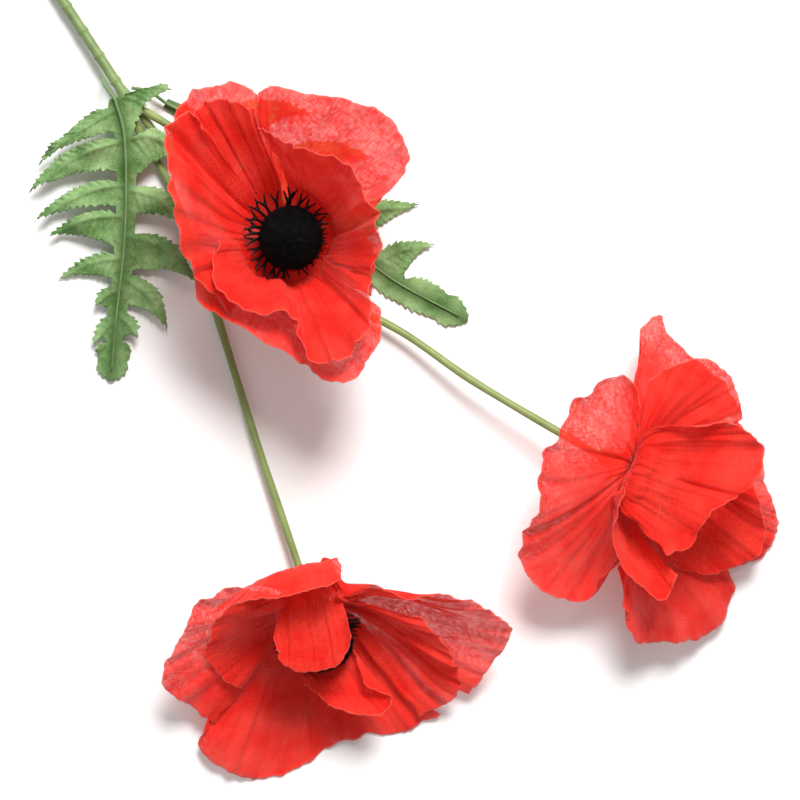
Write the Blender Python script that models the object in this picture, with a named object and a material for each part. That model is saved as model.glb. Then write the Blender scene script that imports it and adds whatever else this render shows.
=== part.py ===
"""Artificial poppy spray: one main stem that forks into three stems with a fabric bloom each, and two leaves.

The spray lies on a table, +Z up. Lengths are in millimetres and become metres when a mesh is made.
"""

import math

import bpy
import numpy as np
from mathutils import Vector
from mathutils.bvhtree import BVHTree
from mathutils.geometry import delaunay_2d_cdt

MM = 0.001
TURN = 2 * math.pi

# Stems
MAIN_RADIUS = 1.9
BRANCH_RADIUS = 1.45
BRANCH_STEP = 6.0
KNUCKLE_SPACING = 11.0
KNUCKLE_SWELL = 0.35
KNUCKLE_HALF_LENGTH = 1.3
STEM_SIDES = 8
FORK_RADIUS = 3.3
FORK_LENGTH = 7.0
FORK_SPREAD = 1.9
STEM_GAP = 0.35

STEM_BEND = (-22.0, -17.0)
STEM_TOP = 2.2

# Petals: fabric discs threaded on the end of the stem, one above the other
CLOTH = 0.5
LEVEL = 0.9
ROOT_RADIUS = 2.1
CLEARANCE = 1.5
FIRST_HANDLE = 0.38
LAST_HANDLE = 0.33
FINE_RIBS, FINE_STEPS = 31, 19
KEEP_EVERY = 3
PRESS_PASSES = 14
PRESS_RANGE = 12.0
PRESS_SHARE = 0.6
PRESS_STILL = 0.02

# Flower centre, heights along the bloom's axis from its heart
SEED_HEAD_PROFILE = [
    (0.0, 2.6), (2.0, 2.6), (2.2, 7.6), (7.0, 8.8), (10.4, 10.6), (11.3, 13.6),
    (10.2, 17.0), (7.2, 20.0), (3.4, 21.4), (0.0, 21.8),
]  # fmt: skip
SEED_HEAD_SIDES = 16
STAMEN_COUNT = 24
STAMEN_BORE = 2.6
STAMEN_VALLEY = 9.0
STAMEN_REACH = 13.4
STAMEN_HEIGHT = 5.4
STAMEN_THICK = 0.8
STAMEN_CUP = 0.35
# The room that the seed head and the stamens take, which petals stay out of
CENTRE_ROOM = [
    (0.0, 1.6), (3.0, 2.4), (16.6, 6.4), (16.8, 9.2), (12.8, 12.0), (11.6, 18.5), (7.5, 21.6), (0.0, 23.0),
]  # fmt: skip
CALYX_TOP = -7.4
CALYX_LENGTH = 9.0
CALYX_BORE = 1.8
CALYX_RIM = 4.6
CALYX_FOOT = 2.7
CALYX_CLOTH = 0.6
SEPAL_STEPS = 6
SEPAL_DROOP = 0.18

# Leaves
BLADE = 0.5
RIB_RADIUS = 0.8
RIB_GAP = 0.35
EDGE_STEPS = 3
MIDRIB_STEP = 6.0
NECK_HALF_WIDTH = 3.4
FOOT_HALF_WIDTH = 1.8
ARCH = 0.45
END_LOBE_AFTER = 1.5
END_LOBE_NECK = 2.7
END_LOBE_BELLY = 2.0
RIB_TAPER = 0.55

# Each bloom: heart, axis, lengths of its five sepals, and its petals from the innermost to the outermost.
# A petal: side its root points to, how far the root wraps and how steeply it leaves the stem (in degrees),
# how much its rim turns out, and the ends of its ribs from the heart, as (x, y, z).
BLOOMS = {
    "bloom_1": dict(
        heart=(-43, 60, 30),
        axis=(0.30, -0.16, 0.94),
        sepals=(11, 11, 11, 11, 11),
        petals=dict(
            inner_bottom=((0, -1, 0), 120, 2, 0.1, [
                (-21, -3, 22), (-24, -12, 28), (-14, -26, 31), (6, -30, 34), (17, -46, 35), (30, -38, 37),
                (32, -18, 33)]),
            inner_right=((1, 0.2, 0), 110, 2, -0.1, [
                (33, -14, 33), (36, -1, 42), (32, 10, 45), (23, 22, 46), (7, 28, 44), (-6, 37, 34)]),
            inner_left=((-1, 0, 0), 110, 10, 0, [
                (-27, 35, 34), (-33, 40, 36), (-36, 28, 39), (-36, 10, 40), (-34, -6, 34), (-27, -18, 27),
                (-17, -28, 22)]),
            inner_top=((-0.5, 1, 0), 70, 8, 0, [
                (-7, 38, 28), (-10, 44, 32), (-19, 46, 33), (-27, 44, 33), (-32, 40, 32)]),
            outer_top_right=((0.7, 1, 0), 80, 0, 0.1, [
                (33, 7, 14), (43, 20, 22), (44, 30, 24), (37, 41, 26), (22, 45, 26), (0, 51, 26),
                (-8, 49, 22)]),
            outer_top_left=((-0.8, 0.8, 0), 80, 0, 0, [
                (-4, 46, 16), (-14, 52, 24), (-25, 51, 27), (-36, 43, 27), (-37, 33, 26), (-36, 19, 20)]),
            outer_bottom=((-0.1, -1, 0), 110, 0, 0.1, [
                (-31, -11, 18), (-26, -26, 20), (-7, -38, 24), (7, -45, 26), (23, -54, 28), (35, -41, 27),
                (36, -27, 18)]),
            outer_right=((1, -0.5, -0.2), 55, 0, -0.1, [
                (31, -22, 16), (33, -12, 20), (33, -5, 20), (30, 0, 14)]),
        ),
    ),
    "bloom_2": dict(
        heart=(-32, -77, 16),
        axis=(0.27, -0.86, 0.43),
        sepals=(26, 10, 9, 9, 12),
        petals=dict(
            inner_near=((0, 0.4, 0.9), 55, -20, -0.9, [
                (-13, -8, 23), (-11, -16, 21), (-5, -20, 20), (4, -20, 20), (12, -16, 20), (14, -7, 24)]),
            inner_bottom=((0, -0.4, -0.9), 80, -5, -0.3, [
                (-3, -26, 4), (9, -34, 8), (22, -36, 9), (28, -32, 10), (20, -25, 10)]),
            inner_right=((1, 0.2, 0), 90, 10, 0, [
                (39, 0, 16), (48, -10, 12), (53, -22, 3), (51, -33, -5), (39, -39, -10)]),
            inner_left=((-1, 0, 0), 90, 10, 0, [
                (-18, 6, 15), (-32, 0, 15), (-36, -12, 11), (-37, -19, 5), (-26, -28, -4)]),
            outer_near=((-0.2, 0.5, 0.9), 65, -14, -0.9, [
                (-36, 1, 26), (-26, 4, 33), (-16, 6, 37), (-4, 8, 39), (6, 10, 38), (12, 13, 35)]),
            outer_right=((1, 0.4, 0.2), 100, 5, 0.1, [
                (15, 13, 20), (33, 8, 22), (51, 8, 22), (66, 1, 15), (72, -7, 7), (65, -20, -4),
                (57, -31, -12)]),
            outer_left=((-1, 0.1, 0), 90, 5, 0.1, [
                (-26, 9, 18), (-41, 2, 18), (-49, -12, 12), (-54, -26, 5), (-34, -43, -7)]),
            outer_bottom=((0, -0.3, -1), 110, 0, 0.2, [
                (-39, -42, -6), (-40, -53, -11), (-20, -63, -15), (-4, -58, -15), (10, -48, -15),
                (31, -45, -15), (46, -38, -14)]),
        ),
    ),
    "bloom_3": dict(
        heart=(86, -26, 30),
        axis=(0.80, -0.37, 0.46),
        sepals=(9, 9, 9, 9, 9),
        petals=dict(
            inner_near=((-0.4, 0.2, 0.9), 80, -5, -0.3, [
                (18, 19, 30), (36, 16, 26), (43, 7, 22), (38, -6, 20), (25, -14, 20), (18, -25, 19),
                (9, -29, 19)]),
            inner_low=((-0.1, -0.9, 0.4), 45, 0, -0.3, [
                (-4, -6, 18), (-9, -16, 19), (-9, -25, 18), (-5, -35, 16), (2, -43, 13), (9, -46, 10),
                (13, -36, 12)]),
            inner_top=((0, 1, 0), 80, 5, 0, [
                (4, 33, 6), (14, 39, 5), (25, 40, 3), (34, 33, -1), (38, 19, -4)]),
            inner_far=((0.4, -0.2, -0.9), 110, 10, 0, [
                (40, 1, -4), (45, -15, -9), (46, -27, -16), (37, -35, -16), (24, -37, -13), (12, -33, -8)]),
            outer_left=((-0.5, 0.2, 0.8), 120, 30, 0.9, [
                (0, 24, 10), (-8, 34, 12), (-22, 25, 14), (-32, 8, 14), (-36, -8, 12), (-42, -29, 3),
                (-34, -43, -6), (-19, -45, -8), (-8, -29, 8)]),
            outer_low=((0, -1, 0), 90, 0, 0.2, [
                (-9, -29, 5), (-6, -46, 4), (-1, -61, -6), (12, -62, -14), (26, -60, -22), (34, -50, -27),
                (35, -37, -29)]),
            outer_top=((0, 1, -0.2), 80, 0, 0.1, [
                (1, 25, -4), (0, 41, -6), (3, 52, -9), (9, 57, -12), (14, 47, -14), (30, 35, -17),
                (38, 22, -16)]),
            outer_far=((0.4, 0, -1), 100, 0, 0.1, [
                (37, 19, -12), (44, 10, -16), (47, -5, -20), (52, -21, -26), (47, -32, -28), (34, -35, -29)]),
        ),
    ),
}  # fmt: skip

# A petal whose rib stands off the stem farther than the usual share of its length: name, (first, last) handle
LONG_HANDLES = {
    "bloom_2_inner_near": (30, 14),
    "bloom_2_outer_near": (33, 17),
    "bloom_3_inner_near": (26, None),
    "bloom_3_inner_low": (18, None),
    "bloom_3_outer_left": (18, None),
}

MAIN_ROUTE = [(-184, 235, 2.45), (-155, 193, 3), (-122, 144, 5), (-99, 109, 8)]
BRANCH_ROUTES = {
    "bloom_1": [(-80, 97, 7.5), (-64, 80, 6.5)],
    "bloom_2": [(-93, 94, 5), (-84.5, 79, 3), (-77, 59, 3), (-68, 34, 3), (-54, -11, 4)],
    "bloom_3": [(-84, 90, 4), (-66, 67, 3), (-48, 46, 3), (-5, 28, 6), (28, 6, 12)],
}
# Where each branch leaves the fork's end face, in parts of FORK_SPREAD: to the right of the stem, and up
FORK_PLACES = {"bloom_1": (0.5, 0.87), "bloom_2": (-1.0, 0.0), "bloom_3": (0.5, -0.87)}

# Leaves: midrib from the petiole's foot to the tip, and lobes as
# (start and end of the foot on the midrib, tip along the midrib, tip to the side, how far its edge bows);
# a lobe arches, so its other edge bows the same way by ARCH of that;
# shoulders: how far before the tip the end lobe is widest, and its half width there
LEAVES = {
    "leaf_1": dict(
        petiole=[(-109, 118.2, 6.5), (-107.5, 114.5, 10.5)],
        midrib=[
            (-104, 110, 12.8), (-100.5, 97, 11.5), (-100, 76, 8.5), (-101, 54, 6.5), (-104, 29, 4),
            (-106, 7, 2)],
        tilt=0.05,
        lobes=[
            (3, 12, 25, -32, 7), (15, 27, 36, -36, 6), (31, 40, 48, -34, 5), (43, 55, 53, -28, 4),
            (58, 67, 70, -23, 3), (70, 79, 78, -8, 1.5), (81, 89, 92, -7, 1.5), (1, 13, 4, 21, 6),
            (15, 30, 22, 20, 4.5), (33, 43, 48, 23, 5), (50, 63, 65, 28, 5), (65, 76, 84, 19, 5),
            (79, 88, 88, 8.5, 1.5)],
        shoulders=(8, 5),
    ),
    "leaf_2": dict(
        petiole=[(-98, 114.1, 6), (-92, 113, 3.5)],
        midrib=[(-86, 109, 2), (-60, 95, 1.2), (-35, 76, 1), (-8, 48, 1), (25, 29, 1.5)],
        tilt=0.0,
        lobes=[
            (20, 33, 48, -26, 5), (44, 58, 74, -25, 5), (68, 81, 98, -18, 5),
            (20, 33, 46, 24, 5), (46, 60, 68, 26, 5), (76, 89, 95, 28, 4.5), (96, 109, 114, 19, 4)],
        shoulders=(11, 5),
    ),
}  # fmt: skip

COLOURS = {
    "stem": ((0.40, 0.46, 0.16, 1), 0.55),
    "leaf": ((0.16, 0.30, 0.10, 1), 0.75),
    "petal": ((0.80, 0.05, 0.03, 1), 0.85),
    "centre": ((0.008, 0.008, 0.010, 1), 0.95),
}


def unit(v):
    v = np.asarray(v, float)
    return v / np.linalg.norm(v, axis=-1, keepdims=True)


def material(kind):
    made = bpy.data.materials.get(kind)
    if made is None:
        colour, roughness = COLOURS[kind]
        made = bpy.data.materials.new(kind)
        made.use_nodes = True
        shader = made.node_tree.nodes["Principled BSDF"]
        shader.inputs["Base Color"].default_value = colour
        shader.inputs["Roughness"].default_value = roughness
        shader.inputs["Metallic"].default_value = 0.0
    return made


def add_object(name, points, faces, kind, origin=(0, 0, 0)):
    """A named object with its own material; points in millimetres, the object placed at its origin."""
    local = (np.asarray(points, float) - origin) * MM
    mesh = bpy.data.meshes.new(name)
    mesh.from_pydata([tuple(p) for p in local], [], faces)
    mesh.materials.append(material(kind))
    obj = bpy.data.objects.new(name, mesh)
    obj.location = Vector(origin) * MM
    bpy.context.scene.collection.objects.link(obj)
    mesh.shade_smooth()
    mesh.set_sharp_from_angle(angle=math.radians(40))
    return obj


def catmull(keys, share):
    """The smooth curve through keys, read at shares 0..1 of its length in keys."""
    keys = np.asarray(keys, float)
    x = np.clip(share, 0, 1) * (len(keys) - 1)
    i = np.minimum(x.astype(int), len(keys) - 2)
    f = (x - i).reshape((-1,) + (1,) * (keys.ndim - 1))
    ext = np.concatenate([[2 * keys[0] - keys[1]], keys, [2 * keys[-1] - keys[-2]]])
    a, b, c, d = ext[i], ext[i + 1], ext[i + 2], ext[i + 3]
    return 0.5 * (2 * b + (c - a) * f + (2 * a - 5 * b + 4 * c - d) * f**2 + (3 * b - a - 3 * c + d) * f**3)


def along(keys, step):
    """Points about step apart on the smooth curve through keys."""
    fine = catmull(keys, np.linspace(0, 1, 400))
    run = np.concatenate([[0], np.cumsum(np.linalg.norm(np.diff(fine, axis=0), axis=1))])
    marks = np.linspace(0, run[-1], max(3, int(round(run[-1] / step)) + 1))
    return np.stack([np.interp(marks, run, fine[:, k]) for k in range(fine.shape[1])], 1), marks


def tube(name, points, radii, kind):
    """A closed round tube through points, without twist."""
    tangents = unit(np.gradient(points, axis=0))
    side = unit(np.cross(tangents[0], (0, 0, 1)))
    angles = np.arange(STEM_SIDES) * TURN / STEM_SIDES
    rings = []
    for point, tangent, radius in zip(points, tangents, radii):
        side = unit(side - tangent * (side @ tangent))
        up = np.cross(tangent, side)
        rings.append(point + radius * (np.cos(angles)[:, None] * side + np.sin(angles)[:, None] * up))
    faces = []
    for j in range(len(points) - 1):
        for i in range(STEM_SIDES):
            k = (i + 1) % STEM_SIDES
            low, high = j * STEM_SIDES, (j + 1) * STEM_SIDES
            faces.append((low + i, low + k, high + k, high + i))
    last = (len(points) - 1) * STEM_SIDES
    faces.append(tuple(reversed(range(STEM_SIDES))))
    faces.append(tuple(range(last, last + STEM_SIDES)))
    return add_object(name, np.concatenate(rings), faces, kind, points[0])


def turned(name, profile, sides, kind, heart, axis):
    """A profile of (radius, height) turned about the axis; its ends lie on the axis."""
    side = unit(np.cross(axis, (0.1, 1.0, 0.2)))
    up = np.cross(axis, side)
    points = [heart + axis * profile[0][1]]
    for radius, height in profile[1:-1]:
        for k in range(sides):
            a = k * TURN / sides
            points.append(heart + axis * height + radius * (math.cos(a) * side + math.sin(a) * up))
    points.append(heart + axis * profile[-1][1])
    rings = len(profile) - 2
    faces = []
    for k in range(sides):
        n = (k + 1) % sides
        faces.append((0, 1 + n, 1 + k))
        for j in range(rings - 1):
            low, high = 1 + j * sides, 1 + (j + 1) * sides
            faces.append((low + k, low + n, high + n, high + k))
        top = 1 + (rings - 1) * sides
        faces.append((top + k, top + n, len(points) - 1))
    return add_object(name, points, faces, kind, heart)


def ring_solid(name, rows, kind, heart, axis):
    """A closed ring: rows of (radius, height) pairs around the axis, the last row joined to the first."""
    side = unit(np.cross(axis, (0.1, 1.0, 0.2)))
    up = np.cross(axis, side)
    count = len(rows[0])
    points = []
    for row in rows:
        for k, (radius, height) in enumerate(row):
            a = k * TURN / count
            points.append(heart + axis * height + radius * (math.cos(a) * side + math.sin(a) * up))
    faces = []
    for j in range(len(rows)):
        m = (j + 1) % len(rows)
        for k in range(count):
            n = (k + 1) % count
            faces.append((j * count + k, j * count + n, m * count + n, m * count + k))
    return add_object(name, points, faces, kind, heart)


def petal_grid(name, layer, heart, axis, root, wrap, rise, flare, tips):
    """Points (rib, step, xyz) of a petal: every rib is a Bezier curve from the root ring to its tip."""
    tips = np.asarray(tips, float)
    middle = unit(np.asarray(root, float) - axis * (axis @ np.asarray(root, float)))
    side = np.cross(axis, middle)
    way = 1 if (tips[-1] - tips[0]) @ side > 0 else -1
    turn = np.radians(wrap) * (np.linspace(0, 1, len(tips)) - 0.5) * way
    out = np.cos(turn)[:, None] * middle + np.sin(turn)[:, None] * side
    start = out * ROOT_RADIUS - axis * (layer * LEVEL)
    chord = tips - start
    length = np.linalg.norm(chord, axis=1, keepdims=True)
    chord = chord / length
    first, last = LONG_HANDLES.get(name, (None, None))
    climb = math.radians(rise)
    near = start + (math.cos(climb) * out + math.sin(climb) * axis) * (first or FIRST_HANDLE * length)
    away = unit(out - chord * np.sum(out * chord, 1, keepdims=True))
    far = tips - unit(chord + flare * away) * (last or LAST_HANDLE * length)
    handles = catmull(np.stack([start, near, far, tips], 1), np.linspace(0, 1, FINE_RIBS))
    t = np.linspace(0, 1, FINE_STEPS)
    weights = np.stack([(1 - t) ** 3, 3 * (1 - t) ** 2 * t, 3 * (1 - t) * t**2, t**3], 1)
    return heart + np.einsum("tk,skc->stc", weights, handles)


def grid_normals(grid, axis):
    """Normals on the petal's back: the side that looks down the stem where the petal is rooted."""
    normal = unit(np.cross(np.gradient(grid, axis=0), np.gradient(grid, axis=1)) + 1e-9)
    return normal if (normal[:, 1].mean(0) @ axis) < 0 else -normal


def grid_faces(ribs, steps):
    return [
        (i * steps + j, (i + 1) * steps + j, (i + 1) * steps + j + 1, i * steps + j + 1)
        for i in range(ribs - 1)
        for j in range(steps - 1)
    ]


def press_outward(grid, inner):
    """Moves a petal off the backs of the petals inside it, so that layers of fabric lie on each other."""
    for _ in range(PRESS_PASSES):
        push = np.zeros_like(grid)
        for tree, flat_normals, faces in inner:
            for i in range(grid.shape[0]):
                for j in range(2, grid.shape[1]):
                    found, _, index, _ = tree.find_nearest(Vector(grid[i, j]), PRESS_RANGE)
                    if found is None:
                        continue
                    back = flat_normals[faces[index][0]]
                    offset = grid[i, j] - np.array(found)
                    depth = offset @ back
                    aside = np.linalg.norm(offset - depth * back)
                    wanted = CLEARANCE * min(1.0, 0.6 + j / 10)
                    if depth < wanted and aside < CLEARANCE:
                        push[i, j] += back * (wanted - depth) * PRESS_SHARE
        if np.abs(push).max() < PRESS_STILL:
            break
        padded = np.pad(push, ((1, 1), (1, 1), (0, 0)), mode="edge")
        soft = (padded[:-2, 1:-1] + padded[2:, 1:-1] + padded[1:-1, :-2] + padded[1:-1, 2:]) / 4
        grid = grid + np.where(np.abs(push).sum(2, keepdims=True) > 0, 0.7 * push + 0.3 * soft, 0.5 * soft)
    return grid


def add_petal(name, grid, axis, heart):
    """The petal as a closed sheet: its front, its back and the strip around them."""
    normal = grid_normals(grid, axis)
    grid, normal = grid[::KEEP_EVERY, ::KEEP_EVERY], normal[::KEEP_EVERY, ::KEEP_EVERY]
    ribs, steps = grid.shape[:2]
    count = ribs * steps
    points = np.concatenate([(grid + s * normal * CLOTH / 2).reshape(-1, 3) for s in (1, -1)])
    back = grid_faces(ribs, steps)
    edge = [i * steps for i in range(ribs)]
    edge += [(ribs - 1) * steps + j for j in range(1, steps)]
    edge += [i * steps + steps - 1 for i in range(ribs - 2, -1, -1)]
    edge += list(range(steps - 2, 0, -1))
    strip = [(a + count, b + count, b, a) for a, b in zip(edge, edge[1:] + edge[:1])]
    faces = back + [tuple(v + count for v in reversed(f)) for f in back] + strip
    a, b, c = (points[back[0][k]] for k in (0, 1, 2))
    if np.cross(b - a, c - a) @ normal[0, 0] < 0:
        faces = [tuple(reversed(f)) for f in faces]
    return add_object(name, points, faces, "petal", heart)


def centre_room(heart, axis):
    """The flower centre as a surface that petals are pressed off, like a petal inside them."""
    side = unit(np.cross(axis, (0.1, 1.0, 0.2)))
    up = np.cross(axis, side)
    turn = np.linspace(0, TURN, SEED_HEAD_SIDES + 1)
    radial = np.cos(turn)[:, None] * side + np.sin(turn)[:, None] * up
    room = np.array(CENTRE_ROOM)
    grid = heart + room[None, :, :1] * radial[:, None] + room[None, :, 1:] * axis
    normal = unit(np.cross(np.gradient(grid, axis=0), np.gradient(grid, axis=1)) + 1e-9)
    if (normal[:, 1].mean(0) @ axis) > 0:
        normal = -normal
    faces = grid_faces(*grid.shape[:2])
    return BVHTree.FromPolygons([tuple(p) for p in grid.reshape(-1, 3)], faces), normal.reshape(-1, 3), faces


def add_bloom(name, bloom):
    heart = np.array(bloom["heart"], float)
    axis = unit(bloom["axis"])
    turned(name + "_seed_head", SEED_HEAD_PROFILE, SEED_HEAD_SIDES, "centre", heart, axis)

    reach = [STAMEN_REACH if k % 2 else STAMEN_VALLEY for k in range(2 * STAMEN_COUNT)]
    top = [(r, STAMEN_HEIGHT + STAMEN_CUP * (r - STAMEN_BORE)) for r in reach]
    low = [(r, h - STAMEN_THICK) for r, h in top]
    hub_low = [(STAMEN_BORE, STAMEN_HEIGHT - STAMEN_THICK)] * len(reach)
    hub_top = [(STAMEN_BORE, STAMEN_HEIGHT)] * len(reach)
    ring_solid(name + "_stamens", [hub_low, low, top, hub_top], "centre", heart, axis)

    lobes = []
    for length in bloom["sepals"]:
        for k in range(SEPAL_STEPS):
            point = 1 - abs(2 * k / SEPAL_STEPS - 1)
            lobes.append(CALYX_RIM + (length - CALYX_RIM) * point**2.5)
    flange = [(r, CALYX_TOP - SEPAL_DROOP * (r - CALYX_RIM)) for r in lobes]
    under = [(r, h - CALYX_CLOTH) for r, h in flange]
    count = len(lobes)
    foot = CALYX_TOP - CALYX_LENGTH
    rows = [
        [(CALYX_BORE, foot)] * count,
        [(CALYX_FOOT, foot)] * count,
        [(CALYX_RIM - 0.8, CALYX_TOP - 2.2)] * count,
        under,
        flange,
        [(CALYX_BORE, CALYX_TOP)] * count,
    ]
    ring_solid(name + "_calyx", rows, "leaf", heart, axis)

    inner = [centre_room(heart, axis)]
    for layer, (petal, (root, wrap, rise, flare, tips)) in enumerate(bloom["petals"].items()):
        node = f"{name}_petal_{petal}"
        grid = petal_grid(f"{name}_{petal}", layer, heart, axis, root, wrap, rise, flare, tips)
        grid = press_outward(grid, inner)
        faces = grid_faces(*grid.shape[:2])
        flat = grid.reshape(-1, 3)
        tree = BVHTree.FromPolygons([tuple(p) for p in flat], faces)
        inner.append((tree, grid_normals(grid, axis).reshape(-1, 3), faces))
        add_petal(node, grid, axis, heart)


def add_stems():
    points, marks = along(MAIN_ROUTE, KNUCKLE_SPACING / 3)
    near = np.abs((marks + KNUCKLE_SPACING / 2) % KNUCKLE_SPACING - KNUCKLE_SPACING / 2)
    swell = KNUCKLE_SWELL * np.clip(1 - near / KNUCKLE_HALF_LENGTH, 0, 1)
    fork = np.clip((marks - marks[-1] + FORK_LENGTH) / FORK_LENGTH, 0, 1)
    tube("main_stem", points, MAIN_RADIUS + swell * (fork == 0) + (FORK_RADIUS - MAIN_RADIUS) * fork, "stem")
    ahead = unit(points[-1] - points[-2])
    right = unit(np.cross(ahead, (0, 0, 1)))
    up = np.cross(right, ahead)
    end_face = points[-1] + ahead * STEM_GAP
    for name, route in BRANCH_ROUTES.items():
        heart = np.array(BLOOMS[name]["heart"], float)
        axis = unit(BLOOMS[name]["axis"])
        to_right, to_top = FORK_PLACES[name]
        foot = end_face + FORK_SPREAD * (to_top * up - to_right * right)
        bend = [tuple(heart + axis * h) for h in STEM_BEND]
        middle, _ = along([foot + 2 * ahead] + route + bend, BRANCH_STEP)
        line = np.concatenate([[foot], middle, [heart + axis * STEM_TOP]])
        tube(f"{name}_stem", line, np.full(len(line), BRANCH_RADIUS), "stem")


def leaf_outline(leaf, length):
    """The blade's edge as (distance along the midrib, offset to the side), lobe by lobe and round the tip."""

    def edge(a, b, belly):
        a, b = np.array(a, float), np.array(b, float)
        across = np.array([-(b - a)[1], (b - a)[0]]) / np.linalg.norm(b - a)
        t = np.arange(EDGE_STEPS) / EDGE_STEPS
        return a + t[:, None] * (b - a) + across * (belly * np.sin(math.pi * t))[:, None]

    tip_length, tip_half_width = leaf["shoulders"]
    halves = []
    for way in (-1, 1):
        points = [np.array([(0.0, way * FOOT_HALF_WIDTH)])]
        last = 0
        for start, end, tip_along, tip_side, belly in leaf["lobes"]:
            if tip_side * way < 0:
                continue
            narrow = min(NECK_HALF_WIDTH, abs(tip_side) / 2)
            points.append(edge((start, way * narrow), (tip_along, tip_side), belly * way))
            points.append(edge((tip_along, tip_side), (end, way * narrow), -ARCH * belly * way))
            last = end
        shoulder = (length - tip_length, way * tip_half_width)
        points.append(edge((last + END_LOBE_AFTER, way * END_LOBE_NECK), shoulder, way * END_LOBE_BELLY))
        points.append(edge(shoulder, (length, 0), way * END_LOBE_BELLY))
        halves.append(np.concatenate(points))
    return np.concatenate([halves[0], [(length, 0.0)], halves[1][::-1]])


def add_leaf(name, leaf):
    line, marks = along(leaf["midrib"], MIDRIB_STEP)
    length = marks[-1]
    tangent = np.gradient(line, axis=0)
    across = unit(np.stack([-tangent[:, 1], tangent[:, 0], np.zeros(len(line))], 1))

    def place(u, v):
        at = [np.interp(u, marks, line[:, k]) for k in range(3)]
        sideways = [np.interp(u, marks, across[:, k]) for k in range(3)]
        lift = leaf["tilt"] * v
        return np.array(at) + v * np.array(sideways) + np.array((0, 0, lift))

    outline = leaf_outline(leaf, length)
    spine = [(u, 0.0) for u in marks[:-1]]
    flat = [Vector(p) for p in outline] + [Vector(p) for p in spine]
    count = len(outline)
    edges = [(i, (i + 1) % count) for i in range(count)]
    edges += [(count + i, count + i + 1) for i in range(len(spine) - 1)]
    edges.append((count + len(spine) - 1, len(outline) // 2))
    found, _, faces, _, _, _ = delaunay_2d_cdt(flat, edges, [list(range(count))], 1, 1e-6)
    middle = np.array([place(p.x, p.y) for p in found])
    up = np.array((0, 0, BLADE / 2))
    total = len(middle)
    used = {(a, b) for face in faces for a, b in zip(face, face[1:] + face[:1])}
    rim = [(a, b) for a, b in used if (b, a) not in used]
    solid = [tuple(f) for f in faces] + [tuple(v + total for v in reversed(f)) for f in faces]
    solid += [(b, a, a + total, b + total) for a, b in rim]
    points = np.concatenate([middle + up, middle - up])
    a, b, c = (points[faces[0][k]] for k in (0, 1, 2))
    if np.cross(b - a, c - a)[2] < 0:
        solid = [tuple(reversed(f)) for f in solid]
    add_object(name + "_blade", points, solid, "leaf", line[0])

    rise = np.array((0, 0, BLADE / 2 + RIB_GAP + RIB_RADIUS))
    over = np.array([place(u, 0.0) for u in marks[:-1]]) + rise
    route = [np.array(p, float) + rise for p in leaf["petiole"]] + list(over)
    points, run = along(route, MIDRIB_STEP)
    tube(name + "_rib", points, RIB_RADIUS * (1.0 - RIB_TAPER * run / run[-1]), "stem")


def stand_on_floor():
    """Moves everything so that the origin is at the middle of the bottom of the spray's box."""
    bpy.context.view_layer.update()
    parts = list(bpy.data.objects)
    corners = np.array([obj.matrix_world @ v.co for obj in parts for v in obj.data.vertices])
    low, high = corners.min(0), corners.max(0)
    shift = Vector(((low[0] + high[0]) / 2, (low[1] + high[1]) / 2, low[2]))
    for obj in parts:
        obj.location -= shift


for old in list(bpy.data.objects):
    bpy.data.objects.remove(old)
add_stems()
for leaf_name, leaf_values in LEAVES.items():
    add_leaf(leaf_name, leaf_values)
for bloom_name, bloom_values in BLOOMS.items():
    add_bloom(bloom_name, bloom_values)
stand_on_floor()
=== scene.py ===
# %% [markdown]
# The model was packed from the construction script, and this lesson gives it its looks. Nothing built there
# is moved. Each node whose shape is too plain gets a finer piece in the same place, which stands for it.
# The box of the construction is kept from the start, because fabric may stand only a little proud of it.

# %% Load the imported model
import math
import random

import bpy
import numpy as np
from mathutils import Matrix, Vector, noise
from mathutils.bvhtree import BVHTree
from mathutils.geometry import delaunay_2d_cdt


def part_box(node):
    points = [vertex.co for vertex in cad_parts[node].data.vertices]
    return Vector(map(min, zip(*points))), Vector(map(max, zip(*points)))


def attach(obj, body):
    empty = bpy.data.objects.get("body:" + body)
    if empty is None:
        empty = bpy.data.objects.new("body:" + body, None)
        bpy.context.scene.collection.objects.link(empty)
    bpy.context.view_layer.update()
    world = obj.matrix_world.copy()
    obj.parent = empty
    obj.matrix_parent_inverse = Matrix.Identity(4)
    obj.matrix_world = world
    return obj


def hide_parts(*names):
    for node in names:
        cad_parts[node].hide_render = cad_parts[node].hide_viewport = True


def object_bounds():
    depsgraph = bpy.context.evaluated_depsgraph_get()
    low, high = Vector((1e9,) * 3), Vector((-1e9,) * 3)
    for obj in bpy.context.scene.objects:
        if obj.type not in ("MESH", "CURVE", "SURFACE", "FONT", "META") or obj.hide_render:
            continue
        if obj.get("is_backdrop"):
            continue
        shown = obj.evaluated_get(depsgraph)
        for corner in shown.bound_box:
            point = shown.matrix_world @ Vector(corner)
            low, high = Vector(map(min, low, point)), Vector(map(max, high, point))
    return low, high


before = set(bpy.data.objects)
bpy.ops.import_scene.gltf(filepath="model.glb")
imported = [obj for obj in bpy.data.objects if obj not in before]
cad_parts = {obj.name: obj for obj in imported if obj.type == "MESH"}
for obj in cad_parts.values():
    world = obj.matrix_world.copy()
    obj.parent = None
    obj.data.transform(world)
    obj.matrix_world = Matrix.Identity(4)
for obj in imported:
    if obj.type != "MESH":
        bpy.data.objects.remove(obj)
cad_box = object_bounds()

MM = 0.001
TURN = 2 * math.pi
print("nodes in the frame:", len(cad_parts))

# %% [markdown]
# Two helpers serve every finish. One turns a colour as a dyer writes it, in sRGB hex, into the linear
# values that a renderer mixes. The other adds a shader node with its settings and its links in one line, so
# that a finish reads from top to bottom like a recipe.

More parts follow.
